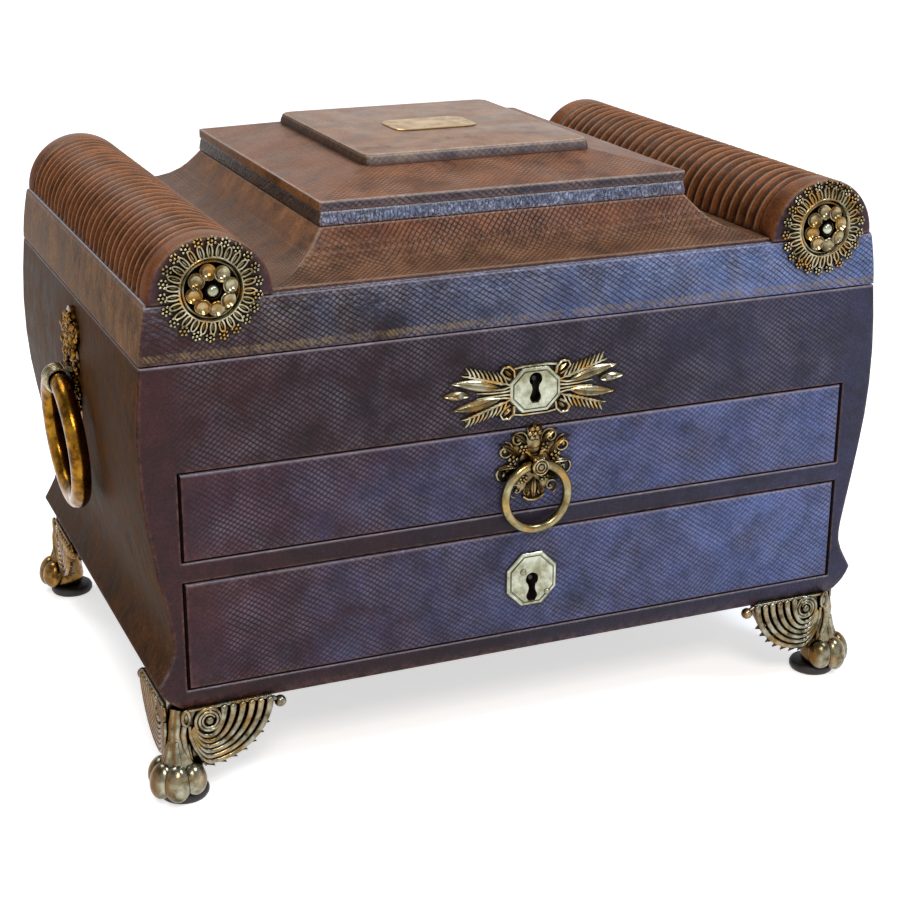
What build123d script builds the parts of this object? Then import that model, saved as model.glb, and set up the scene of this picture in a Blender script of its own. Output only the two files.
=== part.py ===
from build123d import *
import math
import os

# A leather covered casket: carcase on paw feet, coved lid between reeded bolsters, an upper drawer and a
# lower writing drawer. Millimetres, +Z up, the front towards -Y, the origin on the table under the middle.
os.makedirs("parts", exist_ok=True)

# Driving sizes of the carcase
body_width = 300.0
body_depth = 210.0
foot_height = 36.8
top_rail_height = 39.8
upper_opening_height = 34.4
divider_thickness = 7.7
lower_opening_height = 42.9
base_thickness = 7.7
end_thickness = 11.5
front_thickness = 12.0
back_thickness = 9.0
floor_thickness = 5.0
drawer_zone = upper_opening_height + divider_thickness + lower_opening_height
carcase_height = top_rail_height + drawer_zone + base_thickness

# Swell of the end boards: share of their height below the seam, and reach beyond the seam width
swell_profile = (
    (0.0, 0.0),
    (0.22, 2.1),
    (0.45, 0.9),
    (0.655, -3.0),
    (0.83, -6.8),
    (0.895, -7.0),
    (1.0, -0.7),
)
base_lip_height = 2.3
base_undercut = 9.5

# Heights above the table
seam_z = foot_height + carcase_height
base_z = foot_height
lower_floor_z = base_z + base_thickness
divider_z = lower_floor_z + lower_opening_height
upper_floor_z = divider_z + divider_thickness
rail_z = upper_floor_z + upper_opening_height
floor_top_z = rail_z + floor_thickness

# Plan of the carcase
front_y = -body_depth / 2
back_y = body_depth / 2
inner_x = body_width / 2 - end_thickness
rail_back_y = front_y + front_thickness
panel_y = back_y - back_thickness

# Lid
seam_gap = 0.6
lid_box_height = 22.0
lid_board_thickness = 4.0
lid_side_lean = 3.0
lid_z = seam_z + seam_gap
lid_top_z = seam_z + lid_box_height
lid_board_z = lid_top_z - lid_board_thickness

# Bolsters on the lid
bolster_radius = 22.5
bolster_band = 11.0
reed_count = 28
reed_depth = 1.3
bolster_inset = 1.0
bolster_x = body_width / 2 - lid_side_lean - bolster_inset - bolster_radius

# Coving, step plate and cap
step_width = 150.6
step_depth = 160.6
step_rise = 43.4
step_z = seam_z + step_rise
step_edge = 3.6
cap_width = 96.0
cap_depth = 105.0
cap_thickness = 4.3
cap_round = 4.0
cap_taper = 12.0
cap_rise = 52.9
cap_z = seam_z + cap_rise
ledge = 2.0
cove_wall = 16.0
cove_toe = 1.0
fascia_lean = 0.8
plate_width = 36.0
plate_depth = 24.0
plate_thickness = 0.6
plate_round = 6.0

# Drawers
drawer_side_gap = 1.0
drawer_top_gap = 0.8
runner_gap = 0.3
drawer_front_thickness = 10.0
drawer_side_thickness = 5.0
drawer_bottom_thickness = 3.0
drawer_back_gap = 2.0
drawer_box_drop = 2.5

# Locks and keyholes
lock_width = 40.0
lock_height = 32.0
lock_thickness = 8.0
mortise_spare = 1.0
lock_wall = 1.2
lock_clearance = 0.2
key_radius = 2.6
key_slot = 2.4
key_drop = 7.0
post_radius = 0.9
post_sink = 0.5
lid_key_depth = 21.2
lid_plate_drop = 4.1
drawer_key_depth = 20.9
loop_spacing = 18.0
loop_width = 4.4
loop_thickness = 1.6
loop_drop = 9.0
loop_hole = 3.0
loop_margin = 3.0
bar_height = 3.0
upright = 2.0
finger_clearance = 0.4
striker_thickness = 1.2
slot_clearance = 0.5
bolt_throw = 5.0
bolt_width = 14.0
bolt_depth = 3.0
bolt_tail = 7.0

# Escutcheons and the leaf sprays
escutcheon_width = 21.0
lid_escutcheon_height = 17.6
drawer_escutcheon_height = 22.0
escutcheon_thickness = 1.2
escutcheon_cut = 5.0
spray_thickness = 0.9
spray_root = 10.5
spray_pin_x = 30.0
pin_radius = 1.1
pin_head = 0.8
drawer_pins = ((-3.8, 3.4), (6.6, -6.4))

# Leaves of one spray: centre away from the escutcheon's edge, half length, half width, turn
spray_leaves = (
    (8.0, 0.0, 9.0, 2.2, 0.0),
    (14.5, 2.2, 13.0, 2.0, 5.0),
    (14.5, -2.2, 13.0, 2.0, -5.0),
    (18.0, 0.0, 5.0, 1.8, 0.0),
    (8.0, 5.4, 8.0, 2.6, 32.0),
    (8.0, -5.4, 8.0, 2.6, -32.0),
    (4.0, 4.6, 5.0, 2.0, 60.0),
    (4.0, -4.6, 5.0, 2.0, -60.0),
)

# Ring pull on the upper drawer
pull_thickness = 1.6
pull_ring_radius = 13.1
pull_tube_radius = 1.6
pull_drop = 14.5
pull_eye_width = 5.0
ring_clearance = 0.4
eye_wall = 1.5
eye_clearance = 0.5

# Round lobes and piercings of the pull plate: place beside the eye, and radius
pull_lobes = (
    (0.0, 0.0, 9.5),
    (0.0, 9.4, 6.6),
    (9.5, 5.4, 6.4),
    (-9.5, 5.4, 6.4),
    (11.5, -3.4, 5.8),
    (-11.5, -3.4, 5.8),
    (6.0, -9.8, 5.4),
    (-6.0, -9.8, 5.4),
    (0.0, -12.0, 4.6),
)
pull_holes = (
    (7.4, 0.8, 1.4),
    (-7.4, 0.8, 1.4),
    (4.6, 7.0, 1.1),
    (-4.6, 7.0, 1.1),
    (5.2, -6.0, 1.3),
    (-5.2, -6.0, 1.3),
)

# Ring handles on the ends
handle_plate_thickness = 2.0
handle_plate_root = 1.0
handle_drop = 28.0
handle_ring_radius = 25.0
handle_tube_radius = 3.7
handle_clearance = 0.9
handle_lean = 4.0
handle_eye_width = 8.0
handle_eye_drop = 33.0

# Round lobes and piercings of a handle plate: place about its middle, and radius
handle_lobes = (
    (0.0, 18.0, 6.5),
    (9.0, 13.5, 6.5),
    (-9.0, 13.5, 6.5),
    (11.0, 3.5, 6.0),
    (-11.0, 3.5, 6.0),
    (0.0, 3.0, 11.0),
    (7.0, -6.5, 6.0),
    (-7.0, -6.5, 6.0),
    (0.0, -11.0, 7.0),
    (0.0, -19.0, 5.5),
)
handle_holes = (
    (5.0, 14.0, 1.5),
    (-5.0, 14.0, 1.5),
    (9.5, 8.0, 1.4),
    (-9.5, 8.0, 1.4),
    (6.5, -1.0, 1.4),
    (-6.5, -1.0, 1.4),
)

# Rosettes on the bolster ends
rosette_radius = 19.0
rosette_rise = 26.0
rosette_z = seam_z + rosette_rise
bead_count = 22
bead_radius = 2.5
nail_radius = 3.2
nail_height = 2.0
dish_height = 2.2
dish_radius = 10.4
dish_edge = 3.0
sunburst_radius = 14.2
rim_thickness = 1.4

# Feet
foot_corner = 9.0
wing_thickness = 3.2
wing_length = 36.5
lobe_x = 12.0
lobe_drop = 3.0
lobe_radius = 21.5
neck_height = 2.4
eye_inset = 9.5
eye_drop = 5.2
eye_radius = 5.0
eye_height = 0.8
tip_radius = 2.3
tip_drop = 3.3
paw_z = 8.6
paw_radius = 8.2
toe_radius = 4.3
toe_ring = 5.6
toe_count = 4
toe_turn = 38.0
toe_z = 7.6
pad_height = 4.0
pad_inset = 1.8
pad_radius = 10.0
pad_round = 1.2

# Hinges
hinge_length = 34.0
hinge_x = 90.0
hinge_pin_radius = 1.0
hinge_pin_fit = 0.05
knuckle_radius = 2.0
knuckle_gap = 0.3
knuckle_stand_off = 0.4
leaf_thickness = 1.0
leaf_depth = 7.5

# Inside the top compartment
tray_height = 15.0
tray_sink = 3.0
tray_wall = 3.0
tray_bottom = 2.5
tray_gap = 1.5
tray_ledge_width = 4.0
tray_columns = 3
tray_rows = 2

# Inside the writing drawer
flap_thickness = 5.0
pen_tray_depth = 39.7
flap_gap = 1.5
paper_height = 8.0
flap_pin_radius = 1.2
flap_pin_fit = 0.05
divider_wall = 4.0
divider_height = 26.0
ledge_width = 4.0
rest_gap = 0.3
pen_tray_height = 13.0
pen_groove_radius = 9.0
ink_size = 26.0
ink_height = 22.0
ink_wall = 2.5
ink_neck_radius = 7.0
ink_neck_height = 4.0
ink_cap_radius = 9.0
ink_cap_height = 5.0
ink_margin = 5.0
ink_floor = 2.0
cap_fit = 0.05


def save(piece, name):
    piece.part.label = name
    export_step(piece.part, "parts/" + name + ".step")


def block(low, high):
    """A box between two corners, added to the part being built."""
    size = [b - a for a, b in zip(low, high)]
    middle = [(a + b) / 2 for a, b in zip(low, high)]
    with Locations(tuple(middle)):
        Box(*size)


def pocket(low, high):
    """The same box, taken out of the part being built."""
    size = [b - a for a, b in zip(low, high)]
    middle = [(a + b) / 2 for a, b in zip(low, high)]
    with Locations(tuple(middle)):
        Box(*size, mode=Mode.SUBTRACT)


def across(y, x=0.0, z=0.0):
    """Plane facing the front at depth y, its own x to the right and its own y up."""
    return Plane(origin=(x, y, z), x_dir=(1, 0, 0), z_dir=(0, -1, 0))


def cut_keyhole(z, y_near, y_far):
    """Round hole with a slot below it, cut from y_near back to y_far."""
    with BuildSketch(across(y_near, 0, z)) as hole:
        Circle(key_radius)
        with Locations((0, -key_drop / 2)):
            Rectangle(key_slot, key_drop)
    extrude(hole.sketch, amount=-(y_far - y_near), mode=Mode.SUBTRACT)


# End boards with the swelling outer face
end_foot_z = lower_floor_z + base_lip_height
end_height = seam_z - end_foot_z
outer_line = [(body_width / 2 + reach, seam_z - share * end_height) for share, reach in swell_profile]
end_boards = {}
for side, side_name in ((-1, "left"), (1, "right")):
    with BuildPart() as end_board:
        with BuildSketch(across(back_y)):
            with BuildLine():
                Spline(*[(side * x, z) for x, z in outer_line])
                Polyline(
                    (side * outer_line[-1][0], end_foot_z),
                    (side * inner_x, end_foot_z),
                    (side * inner_x, seam_z),
                    (side * outer_line[0][0], seam_z),
                )
            make_face()
        extrude(amount=body_depth)
    end_boards[side] = end_board.part
    save(end_board, side_name + "_end_board")

# Base board, its ends cut back under the flare
with BuildPart() as base_board:
    lip_x = outer_line[-1][0]
    with BuildSketch(across(back_y)):
        with BuildLine():
            for side in (-1, 1):
                ThreePointArc(
                    (side * (lip_x - base_undercut), base_z),
                    (side * (lip_x - base_undercut * 0.42), base_z + base_thickness * 0.55),
                    (side * lip_x, end_foot_z),
                )
                Polyline(
                    (side * lip_x, end_foot_z),
                    (side * inner_x, end_foot_z),
                    (side * inner_x, lower_floor_z),
                )
            Line((-inner_x, lower_floor_z), (inner_x, lower_floor_z))
            Line((-(lip_x - base_undercut), base_z), (lip_x - base_undercut, base_z))
        make_face()
    extrude(amount=body_depth)
save(base_board, "base_board")

# Back panel, let in for the hinge leaves
with BuildPart() as back_panel:
    block((-inner_x, panel_y, lower_floor_z), (inner_x, back_y, seam_z))
    for side in (-1, 1):
        pocket(
            (side * hinge_x - hinge_length / 2, back_y - leaf_depth, seam_z - leaf_thickness),
            (side * hinge_x + hinge_length / 2, back_y, seam_z),
        )
save(back_panel, "back_panel")

# Top rail over the drawers, with the mortise of the lid lock
lock_front_y = rail_back_y - lock_thickness
lid_key_z = seam_z - lid_key_depth
lid_plate_z = lid_key_z - lid_plate_drop
lid_lock_z = seam_z - lock_height - mortise_spare
with BuildPart() as top_rail:
    block((-inner_x, front_y, rail_z), (inner_x, rail_back_y, seam_z))
    pocket(
        (-lock_width / 2, lock_front_y, lid_lock_z),
        (lock_width / 2, rail_back_y, seam_z),
    )
    cut_keyhole(lid_key_z, front_y, lock_front_y)
save(top_rail, "top_rail")

# Floor of the top compartment and the divider between the drawers
with BuildPart() as compartment_floor:
    block((-inner_x, rail_back_y, rail_z), (inner_x, panel_y, floor_top_z))
save(compartment_floor, "compartment_floor")

drawer_lock_y = front_y + drawer_front_thickness
drawer_bolt_y = drawer_lock_y + lock_thickness / 2
with BuildPart() as drawer_divider:
    block((-inner_x, front_y, divider_z), (inner_x, panel_y, upper_floor_z))
    pocket(
        (-bolt_width / 2 - slot_clearance, drawer_bolt_y - bolt_depth / 2 - slot_clearance, divider_z),
        (
            bolt_width / 2 + slot_clearance,
            drawer_bolt_y + bolt_depth / 2 + slot_clearance,
            divider_z + bolt_throw + slot_clearance,
        ),
    )
save(drawer_divider, "drawer_divider")

# Lid walls and the board that closes them
leaf_room = lid_z + leaf_thickness
with BuildPart() as lid_front:
    block((-inner_x, front_y, lid_z), (inner_x, rail_back_y, lid_top_z))
    fillet(lid_front.edges().filter_by(Axis.X).group_by(Axis.Y)[0].sort_by(Axis.Z)[-1], ledge)
    pocket(
        (-loop_spacing / 2 - loop_thickness / 2 - loop_margin, lock_front_y, lid_z),
        (loop_spacing / 2 + loop_thickness / 2 + loop_margin, rail_back_y, lid_z + striker_thickness),
    )
save(lid_front, "lid_front")

with BuildPart() as lid_back:
    block((-inner_x, panel_y, lid_z), (inner_x, back_y, lid_top_z))
    fillet(lid_back.edges().filter_by(Axis.X).group_by(Axis.Y)[-1].sort_by(Axis.Z)[-1], ledge)
    for side in (-1, 1):
        pocket(
            (side * hinge_x - hinge_length / 2, back_y - leaf_depth, lid_z),
            (side * hinge_x + hinge_length / 2, back_y, leaf_room),
        )
save(lid_back, "lid_back")

for side, side_name in ((-1, "left"), (1, "right")):
    with BuildPart() as lid_end:
        low_x = body_width / 2
        high_x = low_x - lid_side_lean
        with BuildSketch(across(back_y)):
            with BuildLine():
                ThreePointArc(
                    (side * low_x, lid_z),
                    (side * (low_x - lid_side_lean * 0.25), (lid_z + lid_top_z) / 2),
                    (side * high_x, lid_top_z),
                )
                Polyline(
                    (side * high_x, lid_top_z),
                    (side * inner_x, lid_top_z),
                    (side * inner_x, lid_z),
                    (side * low_x, lid_z),
                )
            make_face()
        extrude(amount=body_depth)
    save(lid_end, "lid_" + side_name + "_end")

with BuildPart() as lid_top_board:
    block((-inner_x, rail_back_y, lid_board_z), (inner_x, panel_y, lid_top_z))
save(lid_top_board, "lid_top_board")

# Bolsters: half rolls with reeds between two plain bands
for side, side_name in ((-1, "left"), (1, "right")):
    with BuildPart() as bolster:
        x = side * bolster_x
        groove_x = x + bolster_radius - reed_depth
        reed_pitch = (body_depth - 2 * bolster_band) / reed_count
        with BuildSketch(Plane.XY.offset(lid_top_z)):
            with BuildLine():
                Polyline(
                    (groove_x, front_y + bolster_band),
                    (x + bolster_radius, front_y + bolster_band),
                    (x + bolster_radius, front_y),
                    (x, front_y),
                    (x, back_y),
                    (x + bolster_radius, back_y),
                    (x + bolster_radius, back_y - bolster_band),
                    (groove_x, back_y - bolster_band),
                )
                for reed in range(reed_count):
                    y = front_y + bolster_band + reed * reed_pitch
                    ThreePointArc(
                        (groove_x, y),
                        (x + bolster_radius, y + reed_pitch / 2),
                        (groove_x, y + reed_pitch),
                    )
            make_face()
        revolve(axis=Axis((x, 0, lid_top_z), (0, -1, 0)), revolution_arc=180)
    save(bolster, "bolster_" + side_name)

# Coving in four mitred lengths, from the ledge up to the step plate
cove_foot_y = body_depth / 2 - ledge
cove_foot_x = bolster_x - bolster_radius
cove_height = step_z - lid_top_z
cove_reach_y = cove_foot_y - step_depth / 2
cove_reach_x = cove_foot_x - step_width / 2


def cove_length(reach, face, length, plane):
    """One straight length of coving, its face towards the plane's +X, its back cove_wall behind the top."""
    top = face - reach
    with BuildSketch(plane) as section:
        with BuildLine():
            Line((top - cove_wall, 0), (face, 0))
            Line((face, 0), (face, cove_toe))
            Spline(
                (face, cove_toe),
                (top + reach * 0.45, cove_height * 0.23),
                (top + reach * 0.16, cove_height * 0.52),
                (top, cove_height * 0.74),
            )
            Polyline(
                (top, cove_height * 0.74),
                (top - fascia_lean, cove_height),
                (top - cove_wall, cove_height),
                (top - cove_wall, 0),
            )
        make_face()
    extrude(section.sketch, amount=length, both=True)


def mitre_cut(side_x, side_y):
    """Upright plane from a foot corner of the coving to the step corner above it."""
    return Plane(
        origin=(side_x * cove_foot_x, side_y * cove_foot_y, lid_top_z),
        x_dir=(-side_x * cove_reach_x, -side_y * cove_reach_y, 0),
        z_dir=(side_x * cove_reach_y, -side_y * cove_reach_x, 0),
    )


with BuildPart() as coving_front:
    towards_front = Plane(origin=(0, 0, lid_top_z), x_dir=(0, -1, 0), z_dir=(-1, 0, 0))
    cove_length(cove_reach_y, cove_foot_y, cove_foot_x, towards_front)
    for side in (-1, 1):
        split(bisect_by=mitre_cut(side, -1), keep=Keep.BOTTOM)
with BuildPart() as coving_right:
    towards_right = Plane(origin=(0, 0, lid_top_z), x_dir=(1, 0, 0), z_dir=(0, -1, 0))
    cove_length(cove_reach_x, cove_foot_x, cove_foot_y, towards_right)
    for side in (-1, 1):
        split(bisect_by=mitre_cut(1, side), keep=Keep.TOP)
with BuildPart() as lid_coving:
    add(coving_front.part)
    add(coving_front.part.mirror(Plane.XZ))
    add(coving_right.part)
    add(coving_right.part.mirror(Plane.YZ))
save(lid_coving, "lid_coving")

# Step plate: a flat edge, then a shallow hip up to the cap
with BuildPart() as step_plate:
    with BuildSketch(Plane.XY.offset(step_z)):
        Rectangle(step_width, step_depth)
    extrude(amount=step_edge)
    with BuildSketch(Plane.XY.offset(step_z + step_edge)):
        Rectangle(step_width, step_depth)
    with BuildSketch(Plane.XY.offset(cap_z)):
        Rectangle(cap_width, cap_depth)
    loft(ruled=True)
save(step_plate, "step_plate")

with BuildPart() as cap:
    with BuildSketch(Plane.XY.offset(cap_z)):
        RectangleRounded(cap_width, cap_depth, cap_round)
    extrude(amount=cap_thickness, taper=cap_taper)
    fillet(cap.edges().group_by(Axis.Z)[-1], cap_thickness * 0.3)
save(cap, "cap")

cap_top_z = cap_z + cap_thickness
with BuildPart() as nameplate:
    with BuildSketch(Plane.XY.offset(cap_top_z)):
        RectangleRounded(plate_width, plate_depth, plate_round)
    extrude(amount=plate_thickness)
save(nameplate, "nameplate")

# Rosettes: a beaded rim, a sunburst ring, a dish and the nail that holds it
dome_radius = (nail_radius**2 + nail_height**2) / (2 * nail_height)
with BuildPart() as rosette_nails:
    for side in (-1, 1):
        with BuildSketch(Plane((side * bolster_x, front_y, rosette_z))) as dome:
            with BuildLine():
                Polyline((0, -dish_height), (nail_radius, -dish_height))
                RadiusArc((nail_radius, -dish_height), (0, -dish_height - nail_height), dome_radius)
                Line((0, -dish_height - nail_height), (0, -dish_height))
            make_face()
        revolve(dome.sketch, axis=Axis((side * bolster_x, front_y, rosette_z), (0, 1, 0)))
save(rosette_nails, "rosette_nails")

for side, side_name in ((-1, "left"), (1, "right")):
    with BuildPart() as rosette:
        with BuildSketch(across(front_y, side * bolster_x, rosette_z)):
            Circle(rosette_radius - bead_radius)
            with PolarLocations(rosette_radius - bead_radius, bead_count):
                Circle(bead_radius)
        extrude(amount=rim_thickness)
        with BuildSketch(Plane((side * bolster_x, front_y, rosette_z))):
            with BuildLine():
                Polyline((0, 0), (0, -dish_height), (nail_radius, -dish_height))
                ThreePointArc(
                    (nail_radius, -dish_height),
                    (dish_radius * 0.72, -dish_height * 0.8),
                    (dish_radius, -dish_edge),
                )
                ThreePointArc(
                    (dish_radius, -dish_edge),
                    ((dish_radius + sunburst_radius) / 2, -dish_edge * 0.85),
                    (sunburst_radius, -rim_thickness),
                )
                Polyline((sunburst_radius, -rim_thickness), (sunburst_radius, 0), (0, 0))
            make_face()
        revolve(axis=Axis((side * bolster_x, front_y, rosette_z), (0, 1, 0)))
    save(rosette, "rosette_" + side_name)

# Lid lock: a hollow case let into the top rail, with the post that guides the key
lock_middle_y = lock_front_y + lock_thickness / 2
loop_x = loop_spacing / 2
slot_x = loop_thickness / 2 + slot_clearance
slot_y = loop_width / 2 + slot_clearance
with BuildPart() as lid_lock:
    block((-lock_width / 2, lock_front_y, lid_lock_z), (lock_width / 2, rail_back_y, seam_z))
    pocket(
        (-lock_width / 2 + lock_wall, lock_front_y + lock_wall, lid_lock_z + lock_wall),
        (lock_width / 2 - lock_wall, rail_back_y - lock_wall, seam_z - lock_wall),
    )
    for side in (-1, 1):
        pocket(
            (side * loop_x - slot_x, lock_middle_y - slot_y, seam_z - lock_wall),
            (side * loop_x + slot_x, lock_middle_y + slot_y, seam_z),
        )
    cut_keyhole(lid_key_z, lock_front_y, lock_front_y + lock_wall)
    with BuildSketch(across(rail_back_y - lock_wall, 0, lid_key_z)):
        Circle(post_radius)
    extrude(amount=rail_back_y - lock_wall - front_y - post_sink)
save(lid_lock, "lid_lock")

# Striker plate in the lid, with two loops that drop into the lock
loop_hole_z = lid_z - loop_drop + loop_hole
with BuildPart() as lid_striker:
    block(
        (-loop_x - loop_thickness / 2 - loop_margin, lock_front_y, lid_z),
        (loop_x + loop_thickness / 2 + loop_margin, rail_back_y, lid_z + striker_thickness),
    )
    for side in (-1, 1):
        block(
            (side * loop_x - loop_thickness / 2, lock_middle_y - loop_width / 2, lid_z - loop_drop),
            (side * loop_x + loop_thickness / 2, lock_middle_y + loop_width / 2, lid_z),
        )
        pocket(
            (side * loop_x - loop_thickness / 2, lock_middle_y - loop_hole / 2, loop_hole_z - loop_hole / 2),
            (side * loop_x + loop_thickness / 2, lock_middle_y + loop_hole / 2, loop_hole_z + loop_hole / 2),
        )
save(lid_striker, "lid_striker")

# Bolt of the lid lock: a bar below the loops with two fingers, drawn back
finger = loop_hole - 2 * finger_clearance
bar_top_z = lid_z - loop_drop - slot_clearance
bar_reach = (lock_thickness - 2 * lock_wall) / 2 - lock_clearance
finger_start = bolt_throw + loop_thickness / 2 + lock_clearance
with BuildPart() as lid_lock_bolt:
    block(
        (-loop_x - finger_start - upright, lock_middle_y - bar_reach, bar_top_z - bar_height),
        (loop_x - finger_start, lock_middle_y + bar_reach, bar_top_z),
    )
    for side in (-1, 1):
        block(
            (side * loop_x - finger_start - upright, lock_middle_y - finger / 2, bar_top_z),
            (side * loop_x - finger_start, lock_middle_y + finger / 2, loop_hole_z + finger / 2),
        )
        block(
            (side * loop_x - finger_start, lock_middle_y - finger / 2, loop_hole_z - finger / 2),
            (side * loop_x - slot_x, lock_middle_y + finger / 2, loop_hole_z + finger / 2),
        )
save(lid_lock_bolt, "lid_lock_bolt")

# Escutcheon on the lid lock and the pair of leaf sprays beside it
with BuildPart() as lid_escutcheon:
    with BuildSketch(across(front_y, 0, lid_plate_z)) as plate:
        Rectangle(escutcheon_width, lid_escutcheon_height)
        chamfer(plate.vertices(), escutcheon_cut)
    extrude(amount=escutcheon_thickness)
    cut_keyhole(lid_key_z, front_y - escutcheon_thickness, front_y)
save(lid_escutcheon, "lid_escutcheon")

with BuildPart() as leaf_sprays:
    for side in (-1, 1):
        with BuildSketch(across(front_y, side * escutcheon_width / 2, lid_plate_z)):
            for x, z, long, wide, turn in spray_leaves:
                with Locations(Location((side * x, z, 0), (0, 0, side * turn))):
                    Ellipse(long, wide)
            with Locations((-side * spray_root, 0)):
                Rectangle(escutcheon_width, lid_escutcheon_height * 2, mode=Mode.SUBTRACT)
        extrude(amount=spray_thickness)
        with BuildSketch(across(front_y - spray_thickness, side * spray_pin_x, lid_plate_z)):
            Circle(pin_radius)
        extrude(amount=pin_head)
save(leaf_sprays, "leaf_sprays")

# Foot pads, and the cast feet above them
corner_x = lip_x - base_undercut
with BuildPart() as foot_pads:
    for side_x in (-1, 1):
        for side_y in (-1, 1):
            with BuildSketch(Plane((side_x * (corner_x - pad_inset), side_y * (back_y - 2 * pad_inset), 0))):
                Circle(pad_radius)
            extrude(amount=pad_height)
    fillet(foot_pads.edges().group_by(Axis.Z)[0], pad_round)
save(foot_pads, "foot_pads")


def wing(plane):
    """Scroll wing below the base: its length along the plane's x, its face on the plane."""
    with BuildSketch(plane) as outline:
        with BuildLine():
            neck = lobe_x + math.sqrt(lobe_radius**2 - (lobe_drop - neck_height) ** 2)
            Polyline((0, -lobe_drop - lobe_radius), (0, 0), (wing_length, 0), (wing_length, -neck_height))
            Line((wing_length, -neck_height), (neck, -neck_height))
            ThreePointArc(
                (neck, -neck_height),
                (lobe_x + lobe_radius * math.sqrt(0.5), -lobe_drop - lobe_radius * math.sqrt(0.5)),
                (lobe_x, -lobe_drop - lobe_radius),
            )
            Line((lobe_x, -lobe_drop - lobe_radius), (0, -lobe_drop - lobe_radius))
        make_face()
    extrude(outline.sketch, amount=-wing_thickness)
    for radius, height in ((eye_radius, eye_height), (eye_radius * 0.5, 2 * eye_height)):
        with BuildSketch(plane) as scroll:
            with Locations((eye_inset, -eye_drop)):
                Circle(radius)
        extrude(scroll.sketch, amount=height)
    with Locations(plane * Location((wing_length, -tip_drop, -wing_thickness / 2))):
        Sphere(tip_radius)


corner = Vector(-corner_x, front_y, base_z)
with BuildPart() as first_foot:
    wing(Plane(origin=corner, x_dir=(1, 0, 0), z_dir=(0, -1, 0)))
    block((corner.X, corner.Y, paw_radius), (corner.X + foot_corner, corner.Y + foot_corner, base_z))
    with Locations((corner.X, corner.Y, paw_z)):
        Sphere(paw_radius)
    for toe in range(toe_count):
        turn = math.radians(225 + (toe - (toe_count - 1) / 2) * toe_turn)
        with Locations((corner.X + toe_ring * math.cos(turn), corner.Y + toe_ring * math.sin(turn), toe_z)):
            Sphere(toe_radius)
with BuildPart() as side_wing:
    wing(Plane(origin=corner, x_dir=(1, 0, 0), z_dir=(0, -1, 0)))
diagonal = Plane(origin=corner, x_dir=(1, 1, 0), z_dir=(-1, 1, 0))
with BuildPart() as foot_front_left:
    add(first_foot.part)
    add(side_wing.part.mirror(diagonal))
    split(bisect_by=Plane.XY.offset(pad_height), keep=Keep.TOP)
save(foot_front_left, "foot_front_left")
with BuildPart() as foot_front_right:
    add(foot_front_left.part.mirror(Plane.YZ))
save(foot_front_right, "foot_front_right")
with BuildPart() as foot_back_left:
    add(foot_front_left.part.mirror(Plane.XZ))
save(foot_back_left, "foot_back_left")
with BuildPart() as foot_back_right:
    add(foot_front_right.part.mirror(Plane.XZ))
save(foot_back_right, "foot_back_right")

# Butt hinges at the back
pivot_y = back_y + knuckle_radius + knuckle_stand_off
pivot_z = seam_z + seam_gap / 2
knuckle_length = hinge_length / 3 - knuckle_gap


def knuckle(x, leaf_z):
    """One knuckle round the pin and the tongue that joins it to its leaf."""
    block(
        (x - knuckle_length / 2, back_y - leaf_thickness, leaf_z),
        (x + knuckle_length / 2, pivot_y, leaf_z + leaf_thickness),
    )
    with Locations(Location((x, pivot_y, pivot_z), (0, 90, 0))):
        Cylinder(knuckle_radius, knuckle_length)
        Cylinder(hinge_pin_radius + hinge_pin_fit, knuckle_length, mode=Mode.SUBTRACT)


hinge_halves = (
    ("hinge_case_leaves", seam_z - leaf_thickness, (0,)),
    ("hinge_lid_leaves", lid_z, (-1, 1)),
)
for name, leaf_z, places in hinge_halves:
    with BuildPart() as leaves:
        for side in (-1, 1):
            block(
                (side * hinge_x - hinge_length / 2, back_y - leaf_depth, leaf_z),
                (side * hinge_x + hinge_length / 2, back_y, leaf_z + leaf_thickness),
            )
            for place in places:
                knuckle(side * hinge_x + place * hinge_length / 3, leaf_z)
    save(leaves, name)

with BuildPart() as hinge_pins:
    for side in (-1, 1):
        with Locations(Location((side * hinge_x, pivot_y, pivot_z), (0, 90, 0))):
            Cylinder(hinge_pin_radius, hinge_length)
save(hinge_pins, "hinge_pins")

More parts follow.
